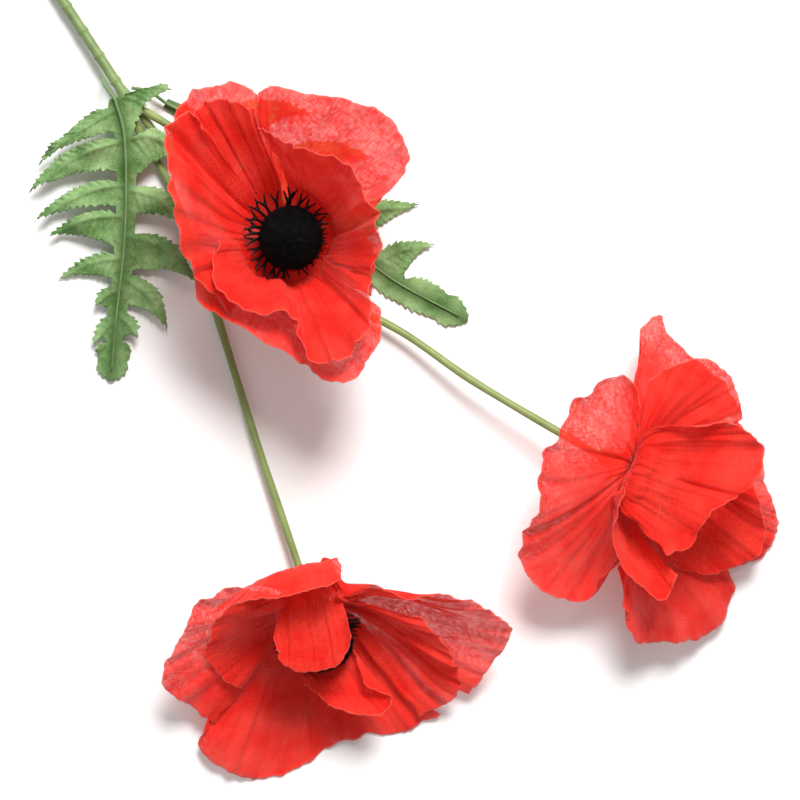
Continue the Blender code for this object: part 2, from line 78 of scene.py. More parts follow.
# %% Helpers for finishes
def linear(hex_colour):
    """An sRGB colour such as "C82318" as linear red, green, blue and alpha."""
    values = [int(hex_colour[i : i + 2], 16) / 255 for i in (0, 2, 4)]
    return tuple(v / 12.92 if v <= 0.04045 else ((v + 0.055) / 1.055) ** 2.4 for v in values) + (1.0,)


def add(tree, kind, inputs=None, links=None, **settings):
    """A node with its settings, its input values, and its inputs linked from other nodes' outputs."""
    made = tree.nodes.new("ShaderNode" + kind)
    for name, value in settings.items():
        setattr(made, name, value)
    for name, value in (inputs or {}).items():
        made.inputs[name].default_value = value
    for name, source in (links or {}).items():
        tree.links.new(source, made.inputs[name])
    return made


def finish_named(name):
    """A new material and its node tree, which is empty."""
    made = bpy.data.materials.new(name)
    made.use_nodes = True
    made.node_tree.nodes.clear()
    return made, made.node_tree


def between(tree, factor, low, high, start=0.3, end=0.7):
    """A colour that goes from low to high as factor goes from start to end."""
    ramp = add(tree, "ValToRGB", links={"Fac": factor})
    ramp.color_ramp.elements[0].position = start
    ramp.color_ramp.elements[0].color = linear(low)
    ramp.color_ramp.elements[1].position = end
    ramp.color_ramp.elements[1].color = linear(high)
    return ramp.outputs["Color"]


# %% [markdown]
# The petals are dyed polyester georgette, a thin plain weave, cut with a hot knife and pressed between warm
# moulds. To the eye that gives a matt red which is pale and mottled where a single layer lets the table
# show between its threads, and deep where layers lie over each other. So the cloth is a mix of a rough dyed
# surface, light that comes through the fibres, and open gaps that follow the warp and the weft. The pattern
# is laid on each petal's flat cut, in millimetres, so that the threads bend with it. Real threads are about
# 0.2 mm apart; they are drawn nearly three times as coarse, or they would not show.

# %% Dyed georgette
THREAD = 0.55
SLUB = 3.2


def threads(tree, along, across, seed):
    """Slubs: noise drawn out along one direction of the flat cut."""
    cut = add(tree, "UVMap", uv_map="FlatCut")
    stretched = add(
        tree, "Mapping", {"Scale": (1 / along, 1 / across, 1), "Location": (seed, seed, 0)},
        {"Vector": cut.outputs["UV"]},
    )  # fmt: skip
    slubs = add(tree, "TexNoise", {"Scale": 1.0, "Detail": 2.0}, {"Vector": stretched.outputs[0]})
    return slubs.outputs["Fac"]


def georgette():
    made, tree = finish_named("dyed_georgette")
    warp, weft = threads(tree, SLUB, THREAD, 3.0), threads(tree, THREAD, SLUB, 17.0)
    weave = add(tree, "Math", links={0: warp, 1: weft}, operation="ADD").outputs[0]
    cloud = threads(tree, 15.0, 11.0, 41.0)
    thinness = add(tree, "Math", {1: 0.5}, {0: cloud, 2: weave}, operation="MULTIPLY_ADD").outputs[0]
    body = between(tree, cloud, "EE2519", "FA4436", 0.35, 0.7)
    rim = add(tree, "Attribute", attribute_name="toward_rim").outputs["Fac"]
    # The pale rim: partly the frayed, melted cut edge and partly a painted highlight where the edge catches the light
    edge = add(
        tree, "MapRange", {"From Min": 0.985, "From Max": 1.0, "To Max": 0.4}, {"Value": rim}
    ).outputs[0]
    colour = add(tree, "MixRGB", {"Color2": linear("FF8A78")}, {"Fac": edge, "Color1": body}).outputs[0]
    bump = add(tree, "Bump", {"Strength": 0.3, "Distance": 0.0002}, {"Height": weave}).outputs[0]
    cloth = add(
        tree, "BsdfPrincipled",
        {"Roughness": 0.8, "IOR": 1.5, "Specular IOR Level": 0.22, "Sheen Weight": 0.15,
         "Sheen Roughness": 0.4},
        {"Base Color": colour, "Normal": bump},
    )  # fmt: skip
    through = add(tree, "BsdfTranslucent", links={"Color": colour, "Normal": bump})
    sheer = add(tree, "MixShader", {0: 0.14}, {1: cloth.outputs[0], 2: through.outputs[0]}).outputs[0]
    # The gaps between threads: open where warp, weft and the dye's clouding are all thin
    gaps = add(
        tree, "MapRange", {"From Min": 1.0, "From Max": 1.55, "To Min": 0.12, "To Max": 0.48},
        {"Value": thinness},
    ).outputs[0]
    air = add(tree, "BsdfTransparent").outputs[0]
    open_weave = add(tree, "MixShader", links={0: gaps, 1: sheer, 2: air}).outputs[0]
    add(tree, "OutputMaterial", links={"Surface": open_weave})
    return made


petal_cloth = georgette()
print("finish:", petal_cloth.name)

# %% [markdown]
# The leaves are the same kind of cloth, printed green and stiffened. Starch makes it duller, and along the
# midrib the green is darkened as painted shade, where the rib shades the dip beside it. The stems and the ribs
# of the leaves are polyethylene moulded over steel wire: waxy, yellow-green, and a little uneven where the
# mould filled last. The centres are foam coated in black flock, which swallows light, and the filaments are
# one moulding in black polyethylene.

# %% Printed leaf cloth, moulded polyethylene, flock
def leaf_print():
    made, tree = finish_named("printed_leaf_cloth")
    place = add(tree, "TexCoord").outputs["Object"]
    patches = add(tree, "TexNoise", {"Scale": 90.0, "Detail": 5.0}, {"Vector": place}).outputs["Fac"]
    grain = add(tree, "TexNoise", {"Scale": 1400.0, "Detail": 2.0}, {"Vector": place}).outputs["Fac"]
    both = add(tree, "Math", {1: 0.4}, {0: grain, 2: patches}, operation="MULTIPLY_ADD").outputs[0]
    green = between(tree, both, "4E7837", "9BBD7F", 0.5, 0.88)
    # Painted shade: the green is darkened along the midrib, where the moulded rib shades the cloth beside it
    painted_rib_shade = add(tree, "Attribute", attribute_name="painted_midrib_shade").outputs["Fac"]
    shaded = add(tree, "MixRGB", {"Color2": linear("37591F")}, {"Fac": painted_rib_shade, "Color1": green}).outputs[0]
    bump = add(tree, "Bump", {"Strength": 0.5, "Distance": 0.0003}, {"Height": both}).outputs[0]
    cloth = add(
        tree, "BsdfPrincipled", {"Roughness": 0.72, "IOR": 1.5, "Specular IOR Level": 0.35},
        {"Base Color": shaded, "Normal": bump},
    )  # fmt: skip
    through = add(tree, "BsdfTranslucent", links={"Color": shaded})
    sheer = add(tree, "MixShader", {0: 0.12}, {1: cloth.outputs[0], 2: through.outputs[0]})
    add(tree, "OutputMaterial", links={"Surface": sheer.outputs[0]})
    return made


def moulded(name, low, high, roughness, grain_scale, shine=0.5):
    """Polyethylene from a mould, or with no shine a matt coat: two close tones and a fine orange peel."""
    made, tree = finish_named(name)
    place = add(tree, "TexCoord").outputs["Object"]
    tone = add(tree, "TexNoise", {"Scale": 110.0, "Detail": 3.0}, {"Vector": place}).outputs["Fac"]
    peel = add(tree, "TexNoise", {"Scale": grain_scale, "Detail": 2.0}, {"Vector": place}).outputs["Fac"]
    colour = between(tree, tone, low, high)
    bump = add(tree, "Bump", {"Strength": 0.3, "Distance": 0.0002}, {"Height": peel}).outputs[0]
    shader = add(
        tree, "BsdfPrincipled", {"Roughness": roughness, "IOR": 1.51, "Specular IOR Level": shine},
        {"Base Color": colour, "Normal": bump},
    )  # fmt: skip
    add(tree, "OutputMaterial", links={"Surface": shader.outputs[0]})
    return made


leaf_cloth = leaf_print()
main_green = moulded("moulded_polyethylene_light_green", "55703A", "82985A", 0.5, 900.0)
branch_green = moulded("moulded_polyethylene_olive", "6F8343", "8A9C58", 0.5, 900.0)
rib_green = moulded("moulded_polyethylene_grey_green", "557540", "76965F", 0.6, 1200.0)
calyx_green = moulded("moulded_polyethylene_leaf_green", "6E8A34", "93A850", 0.55, 1200.0)
black_moulding = moulded("moulded_polyethylene_black", "060505", "120F0F", 0.6, 1500.0, 0.25)
black_flock = moulded("flocked_foam_black", "040404", "100F10", 1.0, 2600.0, 0.12)
print("finishes:", [m.name for m in bpy.data.materials if m.node_tree and m.users == 0])

# %% [markdown]
# Every piece is drawn in the millimetres of the construction and then laid where the frame holds it. The
# seed heads are turned shapes, so turning the same profile about the same axis gives the same box, and the
# difference between that box and the frame's is the shift. All three blooms must agree on it.

# %% Where the blooms are
SEED_HEAD_PROFILE = [
    (0.0, 2.6), (2.0, 2.6), (2.2, 7.6), (7.0, 8.8), (10.4, 10.6), (11.3, 13.6),
    (10.2, 17.0), (7.2, 20.0), (3.4, 21.4), (0.0, 21.8),
]  # fmt: skip
SEED_HEAD_RADIUS = max(radius for radius, _ in SEED_HEAD_PROFILE)
CAD_SIDES = 16
HEARTS = {"bloom_1": (-43, 60, 30), "bloom_2": (-32, -77, 16), "bloom_3": (86, -26, 30)}
AXES = {"bloom_1": (0.30, -0.16, 0.94), "bloom_2": (0.27, -0.86, 0.43), "bloom_3": (0.80, -0.37, 0.46)}


def unit(v):
    v = np.asarray(v, float)
    return v / np.maximum(np.linalg.norm(v, axis=-1, keepdims=True), 1e-9)


def around(axis):
    """Two directions square to the axis and to each other."""
    side = unit(np.cross(axis, (0.1, 1.0, 0.2)))
    return side, np.cross(axis, side)


def lathe(profile, sides, heart, axis):
    """Points (height, side, xyz) of a profile of (radius, height) turned about the axis."""
    side, up = around(axis)
    turn = np.arange(sides) * TURN / sides
    radial = np.cos(turn)[:, None] * side + np.sin(turn)[:, None] * up
    profile = np.asarray(profile, float)
    return heart + profile[:, None, :1] * radial[None] + profile[:, None, 1:] * axis


shifts = []
for bloom, heart in HEARTS.items():
    flat = lathe(SEED_HEAD_PROFILE, CAD_SIDES, np.array(heart, float), unit(AXES[bloom])).reshape(-1, 3)
    low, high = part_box(bloom + "_seed_head")
    shifts.append((np.array(low) + np.array(high)) / 2 / MM - (flat.min(0) + flat.max(0)) / 2)
SHIFT = np.mean(shifts, 0)
print("shift to the frame, mm:", SHIFT.round(3), "spread:", np.ptp(shifts, 0).round(3))

# %% [markdown]
# Curves through a few points, and meshes from rows of points, are the tools for stems, petals and leaves
# alike. A piece is made here in millimetres, moved by the shift and put on the root body, and the node it
# stands for is hidden.

# %% Helpers for shapes
def catmull(keys, share):
    """The smooth curve through keys, read at shares 0..1."""
    keys = np.asarray(keys, float)
    x = np.clip(share, 0, 1) * (len(keys) - 1)
    i = np.minimum(x.astype(int), len(keys) - 2)
    f = (x - i).reshape((-1,) + (1,) * (keys.ndim - 1))
    ext = np.concatenate([[2 * keys[0] - keys[1]], keys, [2 * keys[-1] - keys[-2]]])
    a, b, c, d = ext[i], ext[i + 1], ext[i + 2], ext[i + 3]
    square, cube = 2 * a - 5 * b + 4 * c - d, 3 * b - a - 3 * c + d
    return 0.5 * (2 * b + (c - a) * f + square * f**2 + cube * f**3)


def along(keys, step):
    """Points about step apart on the smooth curve through keys, and their distances from its start."""
    fine = catmull(keys, np.linspace(0, 1, 600))
    run = np.concatenate([[0], np.cumsum(np.linalg.norm(np.diff(fine, axis=0), axis=1))])
    marks = np.linspace(0, run[-1], max(3, int(round(run[-1] / step)) + 1))
    return np.stack([np.interp(marks, run, fine[:, k]) for k in range(3)], 1), marks


def grid_faces(rows, columns, closed=False, start=0):
    """Quads over rows of points; closed joins each row's end to its start."""
    faces = []
    for i in range(rows - 1):
        for j in range(columns if closed else columns - 1):
            k = (j + 1) % columns
            faces.append((start + i * columns + j, start + (i + 1) * columns + j,
                          start + (i + 1) * columns + k, start + i * columns + k))  # fmt: skip
    return faces


def add_piece(name, points, faces, finish, node):
    """A piece from points in the construction's millimetres, which stands for a node of the frame."""
    mesh = bpy.data.meshes.new(name)
    mesh.from_pydata([tuple(p) for p in (np.asarray(points) + SHIFT) * MM], [], faces)
    mesh.validate()
    mesh.materials.append(finish)
    mesh.shade_smooth()
    piece = bpy.data.objects.new(name, mesh)
    bpy.context.scene.collection.objects.link(piece)
    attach(piece, "root")
    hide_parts(node)
    return piece


def tube_parts(points, radii, sides, start=0):
    """Points and faces of a round tube with closed ends, its sides kept from twisting."""
    points = np.asarray(points, float)
    tangents = unit(np.gradient(points, axis=0))
    side = unit(np.cross(tangents[0], (0.02, 0.03, 1.0)))
    turn = np.arange(sides) * TURN / sides
    rings = []
    for point, tangent, radius in zip(points, tangents, radii):
        side = unit(side - tangent * (side @ tangent))
        up = np.cross(tangent, side)
        rings.append(point + radius * (np.cos(turn)[:, None] * side + np.sin(turn)[:, None] * up))
    faces = [tuple(reversed(f)) for f in grid_faces(len(points), sides, True, start)]
    faces.append(tuple(start + k for k in reversed(range(sides))))
    last = start + (len(points) - 1) * sides
    faces.append(tuple(range(last, last + sides)))
    return np.concatenate(rings), faces


# %% [markdown]
# The stems are polyethylene moulded over wire. The main one has a ring-like knuckle about every 11 mm and
# swells at its end, where three branches leave one face. The branches repeat the construction's routes,
# with more sides and a slow waver in their thickness.

# %% Stems
MAIN_RADIUS, BRANCH_RADIUS = 1.9, 1.45
KNUCKLE_SPACING, KNUCKLE_SWELL, KNUCKLE_HALF_LENGTH = 11.0, 0.35, 1.3
FORK_RADIUS, FORK_LENGTH, FORK_SPREAD, STEM_GAP = 3.3, 7.0, 1.9, 0.35
STEM_BEND, STEM_TOP = (-22.0, -17.0), 2.2
STEM_SIDES = 24
MAIN_ROUTE = [(-184, 235, 2.45), (-155, 193, 3), (-122, 144, 5), (-99, 109, 8)]
BRANCH_ROUTES = {
    "bloom_1": [(-80, 97, 7.5), (-64, 80, 6.5)],
    "bloom_2": [(-93, 94, 5), (-84.5, 79, 3), (-77, 59, 3), (-68, 34, 3), (-54, -11, 4)],
    "bloom_3": [(-84, 90, 4), (-66, 67, 3), (-48, 46, 3), (-5, 28, 6), (28, 6, 12)],
}
FORK_PLACES = {"bloom_1": (0.5, 0.87), "bloom_2": (-1.0, 0.0), "bloom_3": (0.5, -0.87)}

line, marks = along(MAIN_ROUTE, 0.5)
near = np.abs((marks + KNUCKLE_SPACING / 2) % KNUCKLE_SPACING - KNUCKLE_SPACING / 2)
knuckle = KNUCKLE_SWELL * np.exp(-((near / (KNUCKLE_HALF_LENGTH * 0.6)) ** 2))
fork = np.clip((marks - marks[-1] + FORK_LENGTH) / FORK_LENGTH, 0, 1)
radii = MAIN_RADIUS + knuckle * (fork == 0) + (FORK_RADIUS - MAIN_RADIUS) * fork**1.5
points, faces = tube_parts(line, radii, STEM_SIDES)
add_piece("main_stem_moulding", points, faces, main_green, "main_stem")

ahead = unit(line[-1] - line[-2])
right = unit(np.cross(ahead, (0, 0, 1)))
fork_up = np.cross(right, ahead)
for bloom, route in BRANCH_ROUTES.items():
    heart, axis = np.array(HEARTS[bloom], float), unit(AXES[bloom])
    to_right, to_top = FORK_PLACES[bloom]
    foot = line[-1] + ahead * STEM_GAP + FORK_SPREAD * (to_top * fork_up - to_right * right)
    bend = [tuple(heart + axis * h) for h in STEM_BEND]
    middle, run = along([foot + 2 * ahead] + route + bend, 1.5)
    path = np.concatenate([[foot], middle, [heart + axis * STEM_TOP]])
    waver = 0.06 * np.sin(np.arange(len(path)) / 4.0)
    points, faces = tube_parts(path, BRANCH_RADIUS + waver, STEM_SIDES)
    add_piece(bloom + "_stem_moulding", points, faces, branch_green, bloom + "_stem")
    print(bloom, "stem is", round(float(run[-1])), "mm long")

# %% [markdown]
# A petal is one cut of cloth, pleated at its root, threaded on the stem and shaped by hand. It is described
# by a few ribs: where each one ends, seen from the heart of the bloom. Every rib is a Bezier curve that
# leaves the stem sideways and arrives at its end, and the cloth is spread between the ribs.

# %% The ribs of the petals
ROOT_RADIUS, LEVEL = 2.1, 0.9
FIRST_HANDLE, LAST_HANDLE = 0.38, 0.33
FINE_RIBS, FINE_STEPS = 31, 19
BLOOM_1 = dict(
    inner_bottom=((0, -1, 0), 120, 2, 0.1, [
        (-21, -3, 22), (-24, -12, 28), (-14, -26, 31), (6, -30, 34), (17, -46, 35), (30, -38, 37),
        (32, -18, 33)]),
    inner_right=((1, 0.2, 0), 110, 2, -0.1, [
        (33, -14, 33), (36, -1, 42), (32, 10, 45), (23, 22, 46), (7, 28, 44), (-6, 37, 34)]),
    inner_left=((-1, 0, 0), 110, 10, 0, [
        (-27, 35, 34), (-33, 40, 36), (-36, 28, 39), (-36, 10, 40), (-34, -6, 34), (-27, -18, 27),
        (-17, -28, 22)]),
    inner_top=((-0.5, 1, 0), 70, 8, 0, [
        (-7, 38, 28), (-10, 44, 32), (-19, 46, 33), (-27, 44, 33), (-32, 40, 32)]),
    outer_top_right=((0.7, 1, 0), 80, 0, 0.1, [
        (33, 7, 14), (43, 20, 22), (44, 30, 24), (37, 41, 26), (22, 45, 26), (0, 51, 26), (-8, 49, 22)]),
    outer_top_left=((-0.8, 0.8, 0), 80, 0, 0, [
        (-4, 46, 16), (-14, 52, 24), (-25, 51, 27), (-36, 43, 27), (-37, 33, 26), (-36, 19, 20)]),
    outer_bottom=((-0.1, -1, 0), 110, 0, 0.1, [
        (-31, -11, 18), (-26, -26, 20), (-7, -38, 24), (7, -45, 26), (23, -54, 28), (35, -41, 27),
        (36, -27, 18)]),
    outer_right=((1, -0.5, -0.2), 55, 0, -0.1, [(31, -22, 16), (33, -12, 20), (33, -5, 20), (30, 0, 14)]),
)  # fmt: skip
BLOOM_2 = dict(
    inner_near=((0, 0.4, 0.9), 55, -20, -0.9, [
        (-13, -8, 23), (-11, -16, 21), (-5, -20, 20), (4, -20, 20), (12, -16, 20), (14, -7, 24)]),
    inner_bottom=((0, -0.4, -0.9), 80, -5, -0.3, [
        (-3, -26, 4), (9, -34, 8), (22, -36, 9), (28, -32, 10), (20, -25, 10)]),
    inner_right=((1, 0.2, 0), 90, 10, 0, [
        (39, 0, 16), (48, -10, 12), (53, -22, 3), (51, -33, -5), (39, -39, -10)]),
    inner_left=((-1, 0, 0), 90, 10, 0, [
        (-18, 6, 15), (-32, 0, 15), (-36, -12, 11), (-37, -19, 5), (-26, -28, -4)]),
    outer_near=((-0.2, 0.5, 0.9), 65, -14, -0.9, [
        (-36, 1, 26), (-26, 4, 33), (-16, 6, 37), (-4, 8, 39), (6, 10, 38), (12, 13, 35)]),
    outer_right=((1, 0.4, 0.2), 100, 5, 0.1, [
        (15, 13, 20), (33, 8, 22), (51, 8, 22), (66, 1, 15), (72, -7, 7), (65, -20, -4), (57, -31, -12)]),
    outer_left=((-1, 0.1, 0), 90, 5, 0.1, [
        (-26, 9, 18), (-41, 2, 18), (-49, -12, 12), (-54, -26, 5), (-34, -43, -7)]),
    outer_bottom=((0, -0.3, -1), 110, 0, 0.2, [
        (-39, -42, -6), (-40, -53, -11), (-20, -63, -15), (-4, -58, -15), (10, -48, -15), (31, -45, -15),
        (46, -38, -14)]),
)  # fmt: skip
BLOOM_3 = dict(
    inner_near=((-0.4, 0.2, 0.9), 80, -5, -0.3, [
        (18, 19, 30), (36, 16, 26), (43, 7, 22), (38, -6, 20), (25, -14, 20), (18, -25, 19), (9, -29, 19)]),
    inner_low=((-0.1, -0.9, 0.4), 45, 0, -0.3, [
        (-4, -6, 18), (-9, -16, 19), (-9, -25, 18), (-5, -35, 16), (2, -43, 13), (9, -46, 10),
        (13, -36, 12)]),
    inner_top=((0, 1, 0), 80, 5, 0, [(4, 33, 6), (14, 39, 5), (25, 40, 3), (34, 33, -1), (38, 19, -4)]),
    inner_far=((0.4, -0.2, -0.9), 110, 10, 0, [
        (40, 1, -4), (45, -15, -9), (46, -27, -16), (37, -35, -16), (24, -37, -13), (12, -33, -8)]),
    outer_left=((-0.5, 0.2, 0.8), 120, 30, 0.9, [
        (0, 24, 10), (-8, 34, 12), (-22, 25, 14), (-32, 8, 14), (-36, -8, 12), (-42, -29, 3), (-34, -43, -6),
        (-19, -45, -8), (-8, -29, 8)]),
    outer_low=((0, -1, 0), 90, 0, 0.2, [
        (-9, -29, 5), (-6, -46, 4), (-1, -61, -6), (12, -62, -14), (26, -60, -22), (34, -50, -27),
        (35, -37, -29)]),
    outer_top=((0, 1, -0.2), 80, 0, 0.1, [
        (1, 25, -4), (0, 41, -6), (3, 52, -9), (9, 57, -12), (14, 47, -14), (30, 35, -17), (38, 22, -16)]),
    outer_far=((0.4, 0, -1), 100, 0, 0.1, [
        (37, 19, -12), (44, 10, -16), (47, -5, -20), (52, -21, -26), (47, -32, -28), (34, -35, -29)]),
)  # fmt: skip
PETALS = {"bloom_1": BLOOM_1, "bloom_2": BLOOM_2, "bloom_3": BLOOM_3}
LONG_HANDLES = {
    "bloom_2_inner_near": (30, 14), "bloom_2_outer_near": (33, 17), "bloom_3_inner_near": (26, None),
    "bloom_3_inner_low": (18, None), "bloom_3_outer_left": (18, None),
}  # fmt: skip


def petal_grid(name, layer, heart, axis, root, wrap, rise, flare, tips):
    """Points (rib, step, xyz) of a petal, each rib a Bezier curve from the root ring to its end."""
    tips = np.asarray(tips, float)
    middle = unit(np.asarray(root, float) - axis * (axis @ np.asarray(root, float)))
    side = np.cross(axis, middle)
    way = 1 if (tips[-1] - tips[0]) @ side > 0 else -1
    turn = np.radians(wrap) * (np.linspace(0, 1, len(tips)) - 0.5) * way
    out = np.cos(turn)[:, None] * middle + np.sin(turn)[:, None] * side
    start = out * ROOT_RADIUS - axis * (layer * LEVEL)
    length = np.linalg.norm(tips - start, axis=1, keepdims=True)
    chord = (tips - start) / length
    first, last = LONG_HANDLES.get(name, (None, None))
    climb = math.radians(rise)
    near = start + (math.cos(climb) * out + math.sin(climb) * axis) * (first or FIRST_HANDLE * length)
    away = unit(out - chord * np.sum(out * chord, 1, keepdims=True))
    far = tips - unit(chord + flare * away) * (last or LAST_HANDLE * length)
    handles = catmull(np.stack([start, near, far, tips], 1), np.linspace(0, 1, FINE_RIBS))
    t = np.linspace(0, 1, FINE_STEPS)
    weights = np.stack([(1 - t) ** 3, 3 * (1 - t) ** 2 * t, 3 * (1 - t) * t**2, t**3], 1)
    return heart + np.einsum("tk,skc->stc", weights, handles)


def back_normals(grid, axis):
    """Normals on the petal's back, the side that looks down the stem at its root."""
    normal = unit(np.cross(np.gradient(grid, axis=0), np.gradient(grid, axis=1)))
    return normal if (normal[:, 1].mean(0) @ axis) < 0 else -normal


# %% [markdown]
# Layers of cloth lie on each other and don't pass through. A petal is pressed off the backs of those inside
# it: for each of its points the nearest place on every inner petal is found, and a point that is too close
# or behind is moved out. The seed head and the stamens press in the same way.

# %% Press the layers apart
CLEARANCE, PRESS_PASSES, PRESS_RANGE, PRESS_SHARE, PRESS_STILL = 1.1, 12, 12.0, 0.6, 0.03
# The share of the clearance kept at the root, and the steps over which a whole clearance is added
ROOT_SHARE, SHARE_STEPS = 0.6, 10
# A pressed point takes so much of its own push and of its neighbours'; a free one follows by the last
OWN_PUSH, NEIGHBOUR_PUSH, CARRIED_PUSH = 0.7, 0.3, 0.5
CENTRE_ROOM = [
    (0.0, 1.6), (3.0, 2.4), (16.6, 6.4), (16.8, 9.2), (12.8, 12.0), (11.6, 18.5), (7.5, 21.6), (0.0, 23.0),
]  # fmt: skip


def pressing_surface(grid, normal):
    """What press_outward needs to know of a surface: its search tree, its normals and its faces."""
    faces = grid_faces(*grid.shape[:2])
    tree = BVHTree.FromPolygons([tuple(p) for p in grid.reshape(-1, 3)], faces)
    return tree, normal.reshape(-1, 3), faces


def press_outward(grid, inner, passes=PRESS_PASSES):
    """Moves a petal off the backs of the surfaces inside it, and smooths the move."""
    for _ in range(passes):
        push = np.zeros_like(grid)
        for tree, normals, faces in inner:
            for i in range(grid.shape[0]):
                for j in range(2, grid.shape[1]):
                    found, _, index, _ = tree.find_nearest(Vector(grid[i, j]), PRESS_RANGE)
                    if found is None:
                        continue
                    back = normals[faces[index][0]]
                    offset = grid[i, j] - np.array(found)
                    depth = offset @ back
                    wanted = CLEARANCE * min(1.0, ROOT_SHARE + j / SHARE_STEPS)
                    if depth < wanted and np.linalg.norm(offset - depth * back) < CLEARANCE:
                        push[i, j] += back * (wanted - depth) * PRESS_SHARE
        if np.abs(push).max() < PRESS_STILL:
            break
        padded = np.pad(push, ((1, 1), (1, 1), (0, 0)), mode="edge")
        soft = (padded[:-2, 1:-1] + padded[2:, 1:-1] + padded[1:-1, :-2] + padded[1:-1, 2:]) / 4
        pressed = np.abs(push).sum(2, keepdims=True) > 0
        grid = grid + np.where(pressed, OWN_PUSH * push + NEIGHBOUR_PUSH * soft, CARRIED_PUSH * soft)
    return grid


def centre_room(heart, axis):
    """The space of the seed head and stamens as a pressing surface."""
    ring = lathe(CENTRE_ROOM, CAD_SIDES, heart, axis).transpose(1, 0, 2)
    ring = np.concatenate([ring, ring[:1]])
    normal = unit(np.cross(np.gradient(ring, axis=0), np.gradient(ring, axis=1)))
    return pressing_surface(ring, -normal if (normal[:, 1].mean(0) @ axis) > 0 else normal)


# %% [markdown]
# Now the cloth itself. Pressing leaves pleats that run from the root and fan out, the rim is ruffled where
# the hot knife shrank it, and its line is uneven. Some petals have pressed creases, steep on one side and
# gentle on the other. All of this is moved in the mesh, so that it shows from every side. The pleats come
# first, and the pleated petal is settled off its neighbours again; only the fine crinkles are added after
# that, because they are smaller than the gap between layers. Widths are followed along the rim in
# millimetres, on wide petals and narrow ones.

# %% Wrinkles, ruffles and creases
PLEATED_RIBS, PLEATED_STEPS, SETTLE_PASSES = 61, 29, 5
CLOTH_RIBS, CLOTH_STEPS = 121, 61
CLOTH_THICKNESS, TABLE_GAP = 0.28, 0.3
WAVE, WAVE_WIDTH = 3.2, 24.0
PLEAT, PLEAT_WIDTH = 2.4, 7.0
FOLD, FOLD_WIDTH = 0.9, 6.5
CRINKLE, CRINKLE_WIDTH = 0.48, 2.1
RUFFLE, RUFFLE_WIDTH = 1.8, 15.0
SCALLOP, SCALLOP_WIDTH = 1.5, 9.0
SIDE_WANDER = 2.2
# A fold stands up where the noise is near nought. A crease slants, and is deepest four fifths of the way out
FOLD_SHARPNESS, CREASE_SLANT, CREASE_BEND, STEEP_SIDE = 3.5, 3.0, 0.62, 4
# The share of the way to the rim where ruffling starts
RUFFLE_START = 0.72
FINE_SCALLOP, FINE_SCALLOP_WIDTH = 0.45 * SCALLOP, SCALLOP_WIDTH / 3.5
# How much of the waves and pleats a petal shows, where it was pressed smoother than the others
SMOOTHED = {
    "bloom_2_outer_near": 0.35, "bloom_2_inner_near": 0.55, "bloom_3_inner_near": 0.7,
    "bloom_3_inner_low": 0.5,
}  # fmt: skip
# Pressed creases: share of the way round the rim, depth and width in millimetres
CREASES = {
    "bloom_1_inner_left": [
        (0.15, 4.5, 6.0), (0.25, -2.4, 3.0), (0.38, 2.2, 4.0), (0.58, -2.0, 4.0), (0.8, 1.8, 4.0)],
    "bloom_1_inner_bottom": [(0.36, 2.0, 3.0), (0.52, 3.0, 4.0), (0.68, -2.4, 3.0), (0.84, 2.2, 3.0)],
    "bloom_1_inner_top": [(0.25, -2.0, 2.0), (0.5, 2.0, 2.5), (0.75, 1.8, 2.0)],
    "bloom_1_inner_right": [(0.28, 2.6, 4.0), (0.55, -2.0, 3.0), (0.8, 1.6, 3.0)],
    "bloom_2_inner_near": [(0.3, 1.6, 2.0), (0.5, -1.6, 2.0), (0.7, 1.4, 2.0)],
    "bloom_2_outer_bottom": [(0.22, -3.0, 5.0), (0.45, 3.0, 5.0), (0.7, -2.4, 4.0)],
    "bloom_2_inner_right": [(0.2, 1.8, 3.0), (0.42, -2.2, 3.0), (0.62, 2.0, 3.0), (0.82, 1.6, 3.0)],
    "bloom_3_inner_near": [(0.3, 1.2, 2.5), (0.6, -1.6, 3.0)],
    "bloom_3_outer_left": [
        (0.2, 2.0, 4.0), (0.32, 3.2, 4.0), (0.44, -2.4, 4.0), (0.55, 3.0, 4.0), (0.66, -2.4, 4.0),
        (0.8, 2.2, 4.0)],
    "bloom_3_outer_low": [(0.25, 3.0, 4.0), (0.55, -2.4, 4.0)],
    "bloom_3_inner_far": [(0.3, 2.0, 3.0), (0.5, -1.8, 3.0), (0.7, 2.0, 3.0)],
}  # fmt: skip


def wander(x, y, seed):
    """Smooth noise for arrays of places in pattern widths; the seed picks the pattern."""
    flat = [noise.noise(Vector((a, b, seed * 7.31))) for a, b in zip(np.ravel(x), np.ravel(y))]
    return np.array(flat).reshape(np.shape(x))


def spread(grid, ribs, steps):
    """The same surface read at more ribs and steps."""
    wide = catmull(grid, np.linspace(0, 1, ribs))
    return catmull(wide.transpose(1, 0, 2), np.linspace(0, 1, steps)).transpose(1, 0, 2)


def measured(grid):
    """For each point, the millimetres along the rim and the share of the way from root to rim."""
    rim = np.concatenate([[0], np.cumsum(np.linalg.norm(np.diff(grid[:, -1], axis=0), axis=1))])
    share = np.linspace(0, 1, grid.shape[1])
    return np.repeat(rim[:, None], grid.shape[1], 1), np.repeat(share[None], len(grid), 0)


def pleated(name, grid, axis, seed):
    """The petal with its waves, pleats and named creases, before it is settled against its neighbours."""
    grid = spread(grid, PLEATED_RIBS, PLEATED_STEPS)
    across, t = measured(grid)
    move = WAVE * t * wander(across / WAVE_WIDTH, t * 1.6, seed + 0.1)
    move += PLEAT * t**1.2 * wander(across / PLEAT_WIDTH, t * 0.9, seed)
    ridge = 1 - FOLD_SHARPNESS * np.abs(wander(across / FOLD_WIDTH, t * 0.7, seed + 0.2))
    move += FOLD * t * np.clip(ridge, 0, 1)
    move *= SMOOTHED.get(name, 1.0)
    for share, depth, width in CREASES.get(name, []):
        off = (across - share * across[-1] + CREASE_SLANT * (1 - t)) / width
        beside = np.exp(-np.where(off > 0, off, -STEEP_SIDE * off))
        move += depth * np.sin(math.pi * CREASE_BEND * t) * beside
    return grid + move[..., None] * back_normals(grid, axis)


